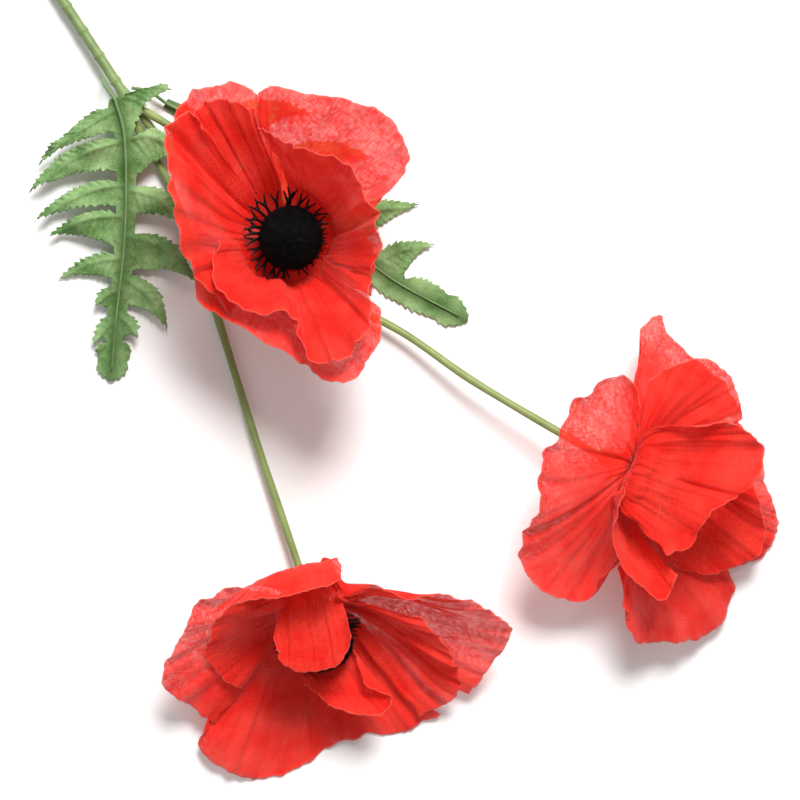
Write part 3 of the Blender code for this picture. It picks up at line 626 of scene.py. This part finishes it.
def finished(grid, axis, seed):
    """The settled petal with its fine crinkles and its ruffled, uneven rim."""
    grid = spread(grid, CLOTH_RIBS, CLOTH_STEPS)
    across, t = measured(grid)
    move = CRINKLE * t**0.7 * wander(across / CRINKLE_WIDTH, t * 3.5, seed + 0.3)
    near_rim = np.clip((t - RUFFLE_START) / (1 - RUFFLE_START), 0, 1) ** 2
    move += RUFFLE * near_rim * wander(across / RUFFLE_WIDTH, t * 0.5, seed + 0.6)
    rim = across[:, 0]
    longer = SCALLOP * wander(rim / SCALLOP_WIDTH, rim * 0, seed + 0.8)
    longer += FINE_SCALLOP * wander(rim / FINE_SCALLOP_WIDTH, rim * 0, seed + 0.9)
    outward = unit(grid[:, -1] - grid[:, -4])[:, None]
    sideways = unit(np.gradient(grid, axis=0))
    beside = np.linspace(-1, 1, CLOTH_RIBS)[:, None]
    slide = SIDE_WANDER * t * beside**8 * wander(t * 6, beside + t * 0, seed + 0.5)
    grid = grid + move[..., None] * back_normals(grid, axis) + (longer[:, None] * t**5)[..., None] * outward
    return grid + slide[..., None] * sideways, t


# The fan's width is taken three quarters of the way to the rim
FAN_ROW = 0.75


def flat_cut(grid):
    """Where each point lies on the petal before it was shaped, in millimetres: a fan from the root."""
    reach = np.concatenate(
        [np.zeros((len(grid), 1)), np.cumsum(np.linalg.norm(np.diff(grid, axis=1), axis=2), axis=1)], 1
    )
    row = int(grid.shape[1] * FAN_ROW)
    width = np.linalg.norm(np.diff(grid[:, row], axis=0), axis=1)
    fan = np.concatenate([[0], np.cumsum(width / np.maximum(reach[1:, row], 1))])
    fan -= fan[-1] / 2
    return np.stack([reach * np.sin(fan)[:, None], reach * np.cos(fan)[:, None]], 2)


def flat_area(cut):
    """The area of the flat cut, square by square."""
    one, two = cut[1:, 1:] - cut[:-1, :-1], cut[:-1, 1:] - cut[1:, :-1]
    return float(np.abs(one[..., 0] * two[..., 1] - one[..., 1] * two[..., 0]).sum() / 2)

# %% [markdown]
# Each petal becomes one mesh with its flat cut as a UV map, so that the weave follows the threads, and an
# attribute that says how near the rim is, for the pale rim: partly the frayed, melted edge and partly a painted
# highlight where the edge catches the light. A Solidify modifier gives the cloth its thickness, and the size of
# the cloth it was cut from is printed.

# %% Petals
def add_petal(node, bloom, grid, nearness):
    ribs, steps = grid.shape[:2]
    cut = flat_cut(grid)
    piece = add_piece(node + "_cloth", grid.reshape(-1, 3), grid_faces(ribs, steps), petal_cloth, node)  # fmt: skip
    mesh = piece.data
    threads_map = mesh.uv_layers.new(name="FlatCut")
    flat = cut.reshape(-1, 2)
    for loop in mesh.loops:
        threads_map.data[loop.index].uv = flat[loop.vertex_index]
    toward_rim = mesh.attributes.new("toward_rim", "FLOAT", "POINT")
    toward_rim.data.foreach_set("value", nearness.reshape(-1).astype(np.float32))
    solid = piece.modifiers.new("cloth", "SOLIDIFY")
    solid.thickness = CLOTH_THICKNESS * MM
    solid.offset = 0
    width, length = (float(np.ptp(flat[:, k])) for k in (0, 1))
    area = flat_area(cut)
    worn = sum(polygon.area for polygon in mesh.polygons) / MM**2
    filling = area / width / length
    return f"{width:.0f} x {length:.0f} mm, filling {filling:.2f}, shaped to flat {worn / area:.2f}"


for number, (bloom, petals) in enumerate(PETALS.items()):
    heart, axis = np.array(HEARTS[bloom], float), unit(AXES[bloom])
    inner = [centre_room(heart, axis)]
    for layer, (petal, (root, wrap, rise, flare, tips)) in enumerate(petals.items()):
        name = f"{bloom}_{petal}"
        seed = 1 + number * 10 + layer
        grid = press_outward(petal_grid(name, layer, heart, axis, root, wrap, rise, flare, tips), inner)
        grid = press_outward(pleated(name, grid, axis, seed), inner, SETTLE_PASSES)
        inner.append(pressing_surface(grid, back_normals(grid, axis)))
        cloth, nearness = finished(grid, axis, seed)
        table = TABLE_GAP - SHIFT[2]
        cloth[..., 2] = np.where(cloth[..., 2] < table, table + 0.05 * (table - cloth[..., 2]), cloth[..., 2])
        print(name, "cut:", add_petal(f"{bloom}_petal_{petal}", bloom, cloth, nearness))

# %% [markdown]
# The centre is a ball of foam dipped in glue and blown with short black fibres. Its skin is uneven at the
# scale of a millimetre, and single fibres stand off it, which softens its outline. The fibres are thin
# three-sided spikes, set with a golden-angle spiral so that they are even without being in rows.

# %% Flocked seed heads
FLOCK_SIDES, FLOCK_ROWS = 72, 60
FIBRES, FIBRE_LENGTH, FIBRE_RADIUS = 3200, 1.5, 0.13
GOLDEN = math.pi * (3 - math.sqrt(5))
# The ball's middle above the heart, and the half width and half height at which fibres are planted
BALL_MIDDLE, BALL_HALF_WIDTH, BALL_HALF_HEIGHT = 13.6, 10.9, 8.0
LUMP, LUMP_WIDTH, RIDGE, RIDGE_COUNT, RIDGE_FROM = 0.7, 0.9, 0.3, 12, 15
# The spiral stops short of the stem: it covers this much of a ball's height, whose whole is 2
FLOCKED_HEIGHT = 1.35
LEAN = 0.5

for number, bloom in enumerate(HEARTS):
    heart, axis = np.array(HEARTS[bloom], float), unit(AXES[bloom])
    side, up = around(axis)
    profile = catmull(SEED_HEAD_PROFILE, np.linspace(0, 1, FLOCK_ROWS))
    profile[:, 0] = np.maximum(profile[:, 0], 0.01)
    skin = lathe(profile, FLOCK_SIDES, heart, axis)
    centre = heart + axis * BALL_MIDDLE
    out = unit(skin - centre)
    across, height = skin[..., :2] / LUMP_WIDTH, skin[..., 2]
    rough = wander(across[..., 0] + height, across[..., 1] - height, 80 + number)
    turn = np.arange(FLOCK_SIDES) * TURN / FLOCK_SIDES
    ridge = np.cos(turn * RIDGE_COUNT)[None] * (profile[:, 1:] > RIDGE_FROM)
    skin = skin + out * (LUMP * rough + RIDGE * ridge * (profile[:, :1] / SEED_HEAD_RADIUS))[..., None]
    points = [skin.reshape(-1, 3)]
    faces = [tuple(reversed(f)) for f in grid_faces(FLOCK_ROWS, FLOCK_SIDES, True)]
    faces.append(tuple(range(FLOCK_SIDES)))
    faces.append(tuple(reversed(range((FLOCK_ROWS - 1) * FLOCK_SIDES, FLOCK_ROWS * FLOCK_SIDES))))
    dice = random.Random(100 + number)
    for k in range(FIBRES):
        height = 1 - FLOCKED_HEIGHT * (k + 0.5) / FIBRES
        ring = math.sqrt(1 - height * height)
        direction = ring * math.cos(k * GOLDEN) * side + ring * math.sin(k * GOLDEN) * up + height * axis
        foot = centre + direction * (BALL_HALF_WIDTH * ring**2 + BALL_HALF_HEIGHT * height**2)
        lean = unit(direction + [dice.uniform(-LEAN, LEAN) for _ in range(3)])
        first, second = around(lean)
        start = sum(len(p) for p in points)
        corners = [foot + FIBRE_RADIUS * (math.cos(a) * first + math.sin(a) * second) for a in (0, 2.1, 4.2)]
        points.append(np.array(corners + [foot + lean * FIBRE_LENGTH * dice.uniform(0.6, 1.2)]))
        faces += [(start + a, start + b, start + 3) for a, b in ((0, 1), (1, 2), (2, 0))]
        faces.append((start + 2, start + 1, start))
    add_piece(bloom + "_seed_head_flock", np.concatenate(points), faces, black_flock, bloom + "_seed_head")  # fmt: skip
print("fibres on each seed head:", FIBRES)

# %% [markdown]
# The stamens are one moulding: a collar with thin filaments that fan out past the seed head and end in a
# small fork. On a real one no two point quite the same way, because the moulding is pushed on by hand. Each
# filament is a tapering tube, and its fork is two more. Those of the third bloom are shorter, so that they
# stay under its front petal.

# %% Stamens
STAMEN_COUNT, STAMEN_FOOT, STAMEN_HEIGHT = 26, 2.8, 4.9
FILAMENT_REACH, FORK_REACH = {"bloom_1": 13.4, "bloom_2": 13.4, "bloom_3": 11.8}, 2.8
# How much longer they are on one side, how uneven, and how far they sway and rise
LONGER_SIDE, UNEVEN, SWAY, LIFT = 0.10, 0.08, 1.2, (3.2, 5.0)
STALK_RADII, PRONG_RADII, PRONG_SPREAD = (0.7, 0.5), (0.5, 0.28), (0.45, 0.9)
COLLAR, COLLAR_SIDES = [(2.6, 4.2), (4.4, 4.4), (4.4, 5.4), (2.6, 5.4)], 32


def filament(dice, angle, heart, axis, long_side, usual_reach):
    """The three tapering strands of one filament, as (points, radii)."""
    side, up = around(axis)
    radial = math.cos(angle) * side + math.sin(angle) * up
    cross = np.cross(axis, radial)
    stretch = 1 + LONGER_SIDE * (radial @ long_side) + dice.uniform(-UNEVEN, UNEVEN)
    reach = usual_reach * stretch
    sway = dice.uniform(-SWAY, SWAY)
    lift = dice.uniform(*LIFT)
    keys = [heart + radial * STAMEN_FOOT + axis * STAMEN_HEIGHT,
            heart + radial * reach * 0.55 + axis * (STAMEN_HEIGHT + 0.8) + cross * sway * 0.4,
            heart + radial * reach + axis * (STAMEN_HEIGHT + lift) + cross * sway]  # fmt: skip
    stalk = catmull(keys, np.linspace(0, 1, 9))
    strands = [(stalk, np.linspace(*STALK_RADII, 9))]
    for way in (-1, 1):
        open_by = way * dice.uniform(*PRONG_SPREAD)
        tip = stalk[-1] + (radial + cross * open_by + axis * 0.35) * FORK_REACH * dice.uniform(0.7, 1.1)
        strands.append((np.linspace(stalk[-2], tip, 5), np.linspace(*PRONG_RADII, 5)))
    return strands


for number, bloom in enumerate(HEARTS):
    heart, axis = np.array(HEARTS[bloom], float), unit(AXES[bloom])
    long_side = unit(np.array((-0.7, 0.6, 0.0)))
    dice = random.Random(200 + number)
    collar = lathe(COLLAR, COLLAR_SIDES, heart, axis)
    points = [collar.reshape(-1, 3)]
    faces = [tuple(reversed(f)) for f in grid_faces(len(COLLAR), COLLAR_SIDES, True)]
    last = (len(COLLAR) - 1) * COLLAR_SIDES
    following = [(k + 1) % COLLAR_SIDES for k in range(COLLAR_SIDES)]
    faces += [(last + k, last + after, after, k) for k, after in enumerate(following)]
    for k in range(STAMEN_COUNT):
        angle = k * TURN / STAMEN_COUNT + dice.uniform(-0.07, 0.07)
        for strand, radii in filament(dice, angle, heart, axis, long_side, FILAMENT_REACH[bloom]):
            made, sides = tube_parts(strand, radii, 6, sum(len(p) for p in points))
            points.append(made)
            faces += sides
    add_piece(bloom + "_stamen_moulding", np.concatenate(points), faces, black_moulding, bloom + "_stamens")  # fmt: skip
print("filaments to a bloom:", STAMEN_COUNT)

# %% [markdown]
# The calyx is a soft green moulding pushed up the stem to trap the petals. Its rim is drawn out into five
# sepals, thin and pointed, one of them long on the bloom that faces down. The whole is one ring of rows
# about the stem, whose rim radius changes with the angle.

# %% Calyxes
CALYX_TOP, CALYX_LENGTH, CALYX_BORE, CALYX_RIM, CALYX_FOOT, CALYX_CLOTH = -7.4, 9.0, 1.8, 4.6, 2.7, 0.6
SEPAL_STEPS, SEPAL_DROOP = 24, 0.18
SEPALS = {"bloom_1": (11, 11, 11, 11, 11), "bloom_2": (26, 10, 9, 9, 12), "bloom_3": (9, 9, 9, 9, 9)}

for bloom, lengths in SEPALS.items():
    heart, axis = np.array(HEARTS[bloom], float), unit(AXES[bloom])
    side, up = around(axis)
    share = 1 - np.abs(2 * np.arange(SEPAL_STEPS) / SEPAL_STEPS - 1)
    lobes = np.concatenate([CALYX_RIM + (length - CALYX_RIM) * share**2.5 for length in lengths])
    turn = np.arange(len(lobes)) * TURN / len(lobes)
    radial = np.cos(turn)[:, None] * side + np.sin(turn)[:, None] * up
    foot = CALYX_TOP - CALYX_LENGTH
    plain = [
        (CALYX_BORE, foot), (CALYX_FOOT, foot), (CALYX_FOOT + 0.3, foot + 2.5),
        (CALYX_RIM - 0.8, CALYX_TOP - 2.2),
    ]  # fmt: skip
    rows = [heart + axis * h + radial * r for r, h in plain]
    for step in (1, 2, 3):
        radius = CALYX_RIM + (lobes - CALYX_RIM) * step / 3
        height = CALYX_TOP - SEPAL_DROOP * (radius - CALYX_RIM) - CALYX_CLOTH
        rows.append(heart + axis * height[:, None] + radial * radius[:, None])
    for step in (3, 2, 1):
        radius = CALYX_RIM + (lobes - CALYX_RIM) * step / 3
        height = CALYX_TOP - SEPAL_DROOP * (radius - CALYX_RIM)
        rows.append(heart + axis * height[:, None] + radial * radius[:, None])
    rows.append(heart + axis * CALYX_TOP + radial * CALYX_BORE)
    rows.append(rows[0])
    faces = [tuple(reversed(f)) for f in grid_faces(len(rows) - 1, len(lobes), True)]
    last = (len(rows) - 2) * len(lobes)
    faces += [(last + k, last + (k + 1) % len(lobes), (k + 1) % len(lobes), k) for k in range(len(lobes))]
    add_piece(bloom + "_calyx_moulding", np.concatenate(rows[:-1]), faces, calyx_green, bloom + "_calyx")  # fmt: skip
print("sepals:", {k: max(v) for k, v in SEPALS.items()})

# %% [markdown]
# A poppy leaf is cut almost to its midrib into lobes with gaps between them. Each lobe arches: it bows out
# on the side nearer the petiole and in on the other, and its edge has teeth that lean towards its tip. The
# outline is drawn lobe by lobe along the midrib: the foot of each lobe, its tip, and how far its two edges
# bow.

# %% Leaf outlines
NECK_HALF_WIDTH, ARCH, TOOTH, TOOTH_SPACING, EDGE_STEP = 3.4, 0.45, 1.15, 2.6, 0.3
FOOT_HALF_WIDTH, END_LOBE_AFTER, END_LOBE_BELLY = 1.8, 1.5, 2.0
END_LOBE_NECK = NECK_HALF_WIDTH * 0.8
LEAVES = {
    "leaf_1": dict(
        petiole=[(-109, 118.2, 6.5), (-107.5, 114.5, 10.5)],
        midrib=[
            (-104, 110, 12.8), (-100.5, 97, 11.5), (-100, 76, 8.5), (-101, 54, 6.5), (-104, 29, 4),
            (-106, 7, 2)],
        tilt=0.05,
        lobes=[
            (3, 12, 25, -32, 7), (15, 27, 36, -36, 6), (31, 40, 48, -34, 5), (43, 55, 53, -28, 4),
            (58, 67, 70, -23, 3), (70, 79, 78, -8, 1.5), (81, 89, 92, -7, 1.5), (1, 13, 4, 21, 6),
            (15, 30, 22, 20, 4.5), (33, 43, 48, 23, 5), (50, 63, 65, 28, 5), (65, 76, 84, 19, 5),
            (79, 88, 88, 8.5, 1.5)],
        shoulders=(8, 5),
    ),
    "leaf_2": dict(
        petiole=[(-98, 114.1, 6), (-92, 113, 3.5)],
        midrib=[(-86, 109, 2), (-60, 95, 1.2), (-35, 76, 1), (-8, 48, 1), (25, 29, 1.5)],
        tilt=0.0,
        lobes=[
            (20, 33, 48, -26, 5), (44, 58, 74, -25, 5), (68, 81, 98, -18, 5),
            (20, 33, 46, 24, 5), (46, 60, 68, 26, 5), (76, 89, 95, 28, 4.5), (96, 109, 114, 19, 4)],
        shoulders=(11, 5),
    ),
}  # fmt: skip


def toothed(a, b, belly):
    """An edge from a to b that bows to its left by belly, with teeth that lean towards a lobe's tip."""
    a, b = np.array(a, float), np.array(b, float)
    length = np.linalg.norm(b - a)
    left = np.array([-(b - a)[1], (b - a)[0]]) / length
    t = np.linspace(0, 1, max(4, int(length / EDGE_STEP)), endpoint=False)
    bow = belly * np.sin(math.pi * t**0.85)
    place = t * length / TOOTH_SPACING + 0.6 * wander(t * length / 6, a[1] + t * 0, a[0])
    size = TOOTH * (0.8 + 0.9 * wander(t * length / 5, a[1] + t * 0, a[0] + 4))
    size = size * np.minimum(1, 4 * np.sin(math.pi * t))
    return a + t[:, None] * (b - a) + left * (bow + math.copysign(1, belly) * size * (place % 1.0))[:, None]


def leaf_outline(lobes, length, shoulders):
    """The blade's edge as (distance along the midrib, offset to the side)."""
    tip_length, tip_half_width = shoulders
    halves = []
    for way in (-1, 1):
        edge = [np.array([(0.0, way * FOOT_HALF_WIDTH)])]
        last = 0
        for start, end, tip_along, tip_side, belly in lobes:
            if tip_side * way < 0:
                continue
            narrow = min(NECK_HALF_WIDTH, abs(tip_side) * 0.5)
            edge.append(toothed((start, way * narrow), (tip_along, tip_side), way * belly))
            edge.append(toothed((tip_along, tip_side), (end, way * narrow), -way * belly * ARCH))
            last = end
        shoulder = (length - tip_length, way * tip_half_width)
        neck = (last + END_LOBE_AFTER, way * END_LOBE_NECK)
        edge.append(toothed(neck, shoulder, way * END_LOBE_BELLY))
        edge.append(toothed(shoulder, (length, 0), way * END_LOBE_BELLY))
        halves.append(np.concatenate(edge))
    return np.concatenate([halves[0], [(length, 0.0)], halves[1][::-1]])


for name, leaf in LEAVES.items():
    print(name, "has", len(leaf["lobes"]), "lobes")

# %% [markdown]
# The blade is filled with a fine net of points, because its shape is in its relief. The die presses a vein
# down the middle of every lobe and slanting veinlets beside it, the lobes sag at their edges and curl, and
# along the midrib the cloth dips beside the moulded rib that is glued to it. The rib runs on as the
# petiole.

# %% Leaves
NET, VEIN, VEIN_WIDTH, VEINLET, VEINLET_SPACING, SAG, SAG_HALF_WIDTH = 0.8, 1.1, 0.7, 0.45, 3.0, 0.05, 6.0
RIB_DIP, CURL, CURL_WIDTH = 0.5, 4.2, 9
# Where the blade would dip into the table it lies this high, with part of its relief and a slow waver
LYING_HEIGHT, LYING_RELIEF, LYING_WAVER, WAVER_WIDTH = 1.3, 0.6, 0.5, 5
BLADE, RIB_RADIUS, RIB_GAP, RIB_TAPER = 0.35, 0.65, 0.2, 0.6


def inside(points, outline):
    """Which points lie inside the closed outline."""
    x, y = points[:, 0][:, None], points[:, 1][:, None]
    ax, ay = outline[:, 0], outline[:, 1]
    bx, by = np.roll(ax, -1), np.roll(ay, -1)
    crosses = ((ay > y) != (by > y)) & (x < (bx - ax) * (y - ay) / np.where(by == ay, 1e-9, by - ay) + ax)
    return crosses.sum(1) % 2 == 1


for number, (name, leaf) in enumerate(LEAVES.items()):
    line, marks = along(leaf["midrib"], 2.0)
    length = marks[-1]
    tangent = np.gradient(line, axis=0)
    across = unit(np.stack([-tangent[:, 1], tangent[:, 0], np.zeros(len(line))], 1))
    veins = [(np.array((start + 1.0, 0.0)), np.array((tip_u - 1.0, tip_v * 0.92)), belly)
             for start, _, tip_u, tip_v, belly in leaf["lobes"]]  # fmt: skip

    def relief(flat):
        """How far the cloth stands off its plain surface: veins, sagging edges, and the dip by the rib."""
        nearest = np.abs(flat[:, 1]) + 2.0
        up = -SAG * np.minimum(nearest, SAG_HALF_WIDTH) ** 1.6
        for a, b, belly in veins:
            length_of = np.linalg.norm(b - a)
            run = np.clip(((flat - a) @ (b - a)) / length_of**2, 0, 1)
            left = np.array([-(b - a)[1], (b - a)[0]]) / length_of
            bow = math.copysign(0.7 * belly, b[1]) * np.sin(math.pi * run)
            off = np.linalg.norm(flat - (a + run[:, None] * (b - a) + bow[:, None] * left), axis=1)
            ribbed = VEINLET * np.cos(TURN * (run * length_of - 0.9 * off) / VEINLET_SPACING)
            sag = SAG * np.minimum(off, SAG_HALF_WIDTH) ** 1.6
            here = VEIN * np.exp(-((off / VEIN_WIDTH) ** 2)) + ribbed * np.clip(off - 0.6, 0, 1) - sag
            up, nearest = np.where(off < nearest, here, up), np.minimum(off, nearest)
        beside = np.abs(flat[:, 1])
        return up * np.clip(beside / 3, 0, 1) - RIB_DIP * np.exp(-((beside - 2.2) ** 2))

    def lay(flat):
        """Points of the flat leaf, laid on the table."""
        u, v = flat[:, 0], flat[:, 1]
        at = np.stack([np.interp(u, marks, line[:, k]) for k in range(3)], 1)
        sideways = np.stack([np.interp(u, marks, across[:, k]) for k in range(3)], 1)
        curl = CURL * wander(u / CURL_WIDTH, v / CURL_WIDTH, 60 + number) * np.clip(np.abs(v) / 12, 0, 1)
        curl = leaf["tilt"] * v + curl
        place = at + v[:, None] * sideways
        place[:, 2] += curl + relief(flat)
        waver = LYING_WAVER * np.abs(wander(u / WAVER_WIDTH, v / WAVER_WIDTH, 70 + number))
        above = LYING_HEIGHT + LYING_RELIEF * relief(flat) + waver
        place[:, 2] = np.maximum(place[:, 2], np.maximum(above, TABLE_GAP))
        return place

    outline = leaf_outline(leaf["lobes"], length, leaf["shoulders"])
    steps = np.arange(0, length, NET)
    net = np.array([(a + (NET / 2) * (row % 2), row * NET) for row in range(-50, 51) for a in steps])
    net = net[inside(net, outline)]
    corners = [Vector(p) for p in np.concatenate([outline, net])]
    count = len(outline)
    found, _, faces, _, _, _ = delaunay_2d_cdt(
        corners, [(i, (i + 1) % count) for i in range(count)], [list(range(count))], 1, 1e-5
    )
    flat = np.array([tuple(p) for p in found])
    blade = add_piece(name + "_cloth", lay(flat), faces, leaf_cloth, name + "_blade")
    # Painted shade along the midrib, strongest on its line and fading within a few millimetres
    shade = blade.data.attributes.new("painted_midrib_shade", "FLOAT", "POINT")
    shade.data.foreach_set("value", (0.75 * np.exp(-((flat[:, 1] / 3.2) ** 2))).astype(np.float32))
    solid = blade.modifiers.new("cloth", "SOLIDIFY")
    solid.thickness = BLADE * MM
    quarter = np.array(((0, 1), (-1, 0)))
    cut = sum(abs((flat[f[1]] - flat[f[0]]) @ quarter @ (flat[f[2]] - flat[f[0]])) / 2 for f in faces)

    rise = np.array((0, 0, BLADE / 2 + RIB_GAP + RIB_RADIUS * 0.7))
    spine = np.stack([np.interp(marks[:-2], marks, line[:, k]) for k in range(3)], 1) + rise
    path, run = along([np.array(p, float) + rise for p in leaf["petiole"]] + list(spine), 1.2)
    points, faces = tube_parts(path, RIB_RADIUS * (1 - RIB_TAPER * run / run[-1]), 12)
    add_piece(name + "_rib_moulding", points, faces, rib_green, name + "_rib")

# %% [markdown]
# The spray lies on a pale table under weak light from all round. A broad light beyond the end of the stem
# gives the folds their shape and leaves the cups of the blooms deep red, and a faint one opposite softens
# their shadows. The camera looks straight down from a metre and a half, so that the petals nearest to it
# look hardly larger than the rest.

# %% Table, light and camera
FLOOR_SIZE, FLOOR_DROP, ROOM_LIGHT = 6.0, 0.0004, 0.38
CAMERA_HEIGHT, VIEW_WIDTH, VIEW_LEVEL, SENSOR = 1500.0, 288.0, 30.0, 36.0

bpy.ops.mesh.primitive_plane_add(size=FLOOR_SIZE, location=(0, 0, -FLOOR_DROP))
floor = bpy.context.object
floor.name = "table"
table_finish, tree = finish_named("matt_white_laminate")
speckle = add(tree, "TexNoise", {"Scale": 40.0, "Detail": 2.0}).outputs["Fac"]
pale = between(tree, speckle, "F6F6F5", "FAFAF9")
top = add(tree, "BsdfPrincipled", {"Roughness": 0.9, "Specular IOR Level": 0.1}, {"Base Color": pale})
add(tree, "OutputMaterial", links={"Surface": top.outputs[0]})
floor.data.materials.append(table_finish)
floor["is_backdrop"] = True

world = bpy.data.worlds.new("studio")
world.use_nodes = True
around_all = world.node_tree.nodes["Background"].inputs
around_all["Color"].default_value = (1, 1, 1, 1)
around_all["Strength"].default_value = ROOM_LIGHT
bpy.context.scene.world = world


def softbox(name, place, size, power):
    """A square light that faces the middle of the spray."""
    lamp = bpy.data.lights.new(name, "AREA")
    lamp.size = size
    lamp.energy = power
    box = bpy.data.objects.new(name, lamp)
    box.location = place
    box.rotation_euler = (-Vector(place)).to_track_quat("-Z", "Y").to_euler()
    bpy.context.scene.collection.objects.link(box)


softbox("key_from_the_stem_end", (0.25, 0.9, 1.4), 0.6, 38.0)
softbox("fill_opposite", (-0.6, -1.0, 1.1), 1.2, 1.5)

camera = bpy.data.objects.new("camera", bpy.data.cameras.new("camera"))
camera.data.sensor_width = SENSOR
camera.data.lens = SENSOR * CAMERA_HEIGHT / VIEW_WIDTH
camera.data.clip_end = 20
camera.location = Vector((SHIFT + (0, 0, VIEW_LEVEL + CAMERA_HEIGHT)) * MM)
bpy.context.scene.collection.objects.link(camera)
bpy.context.scene.camera = camera
bpy.context.scene.view_settings.view_transform = "Standard"
print("lens:", round(camera.data.lens, 1), "mm")

# %% [markdown]
# Last, the box of what is shown is written beside the box of the construction.

# %% Measure and finish
def plain(corners):
    return [[float(x) for x in corner] for corner in corners]


visual_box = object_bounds()
{"cad": plain(cad_box), "visual": plain(visual_box)}
print("construction:", plain(cad_box))
print("shown:", plain(visual_box))
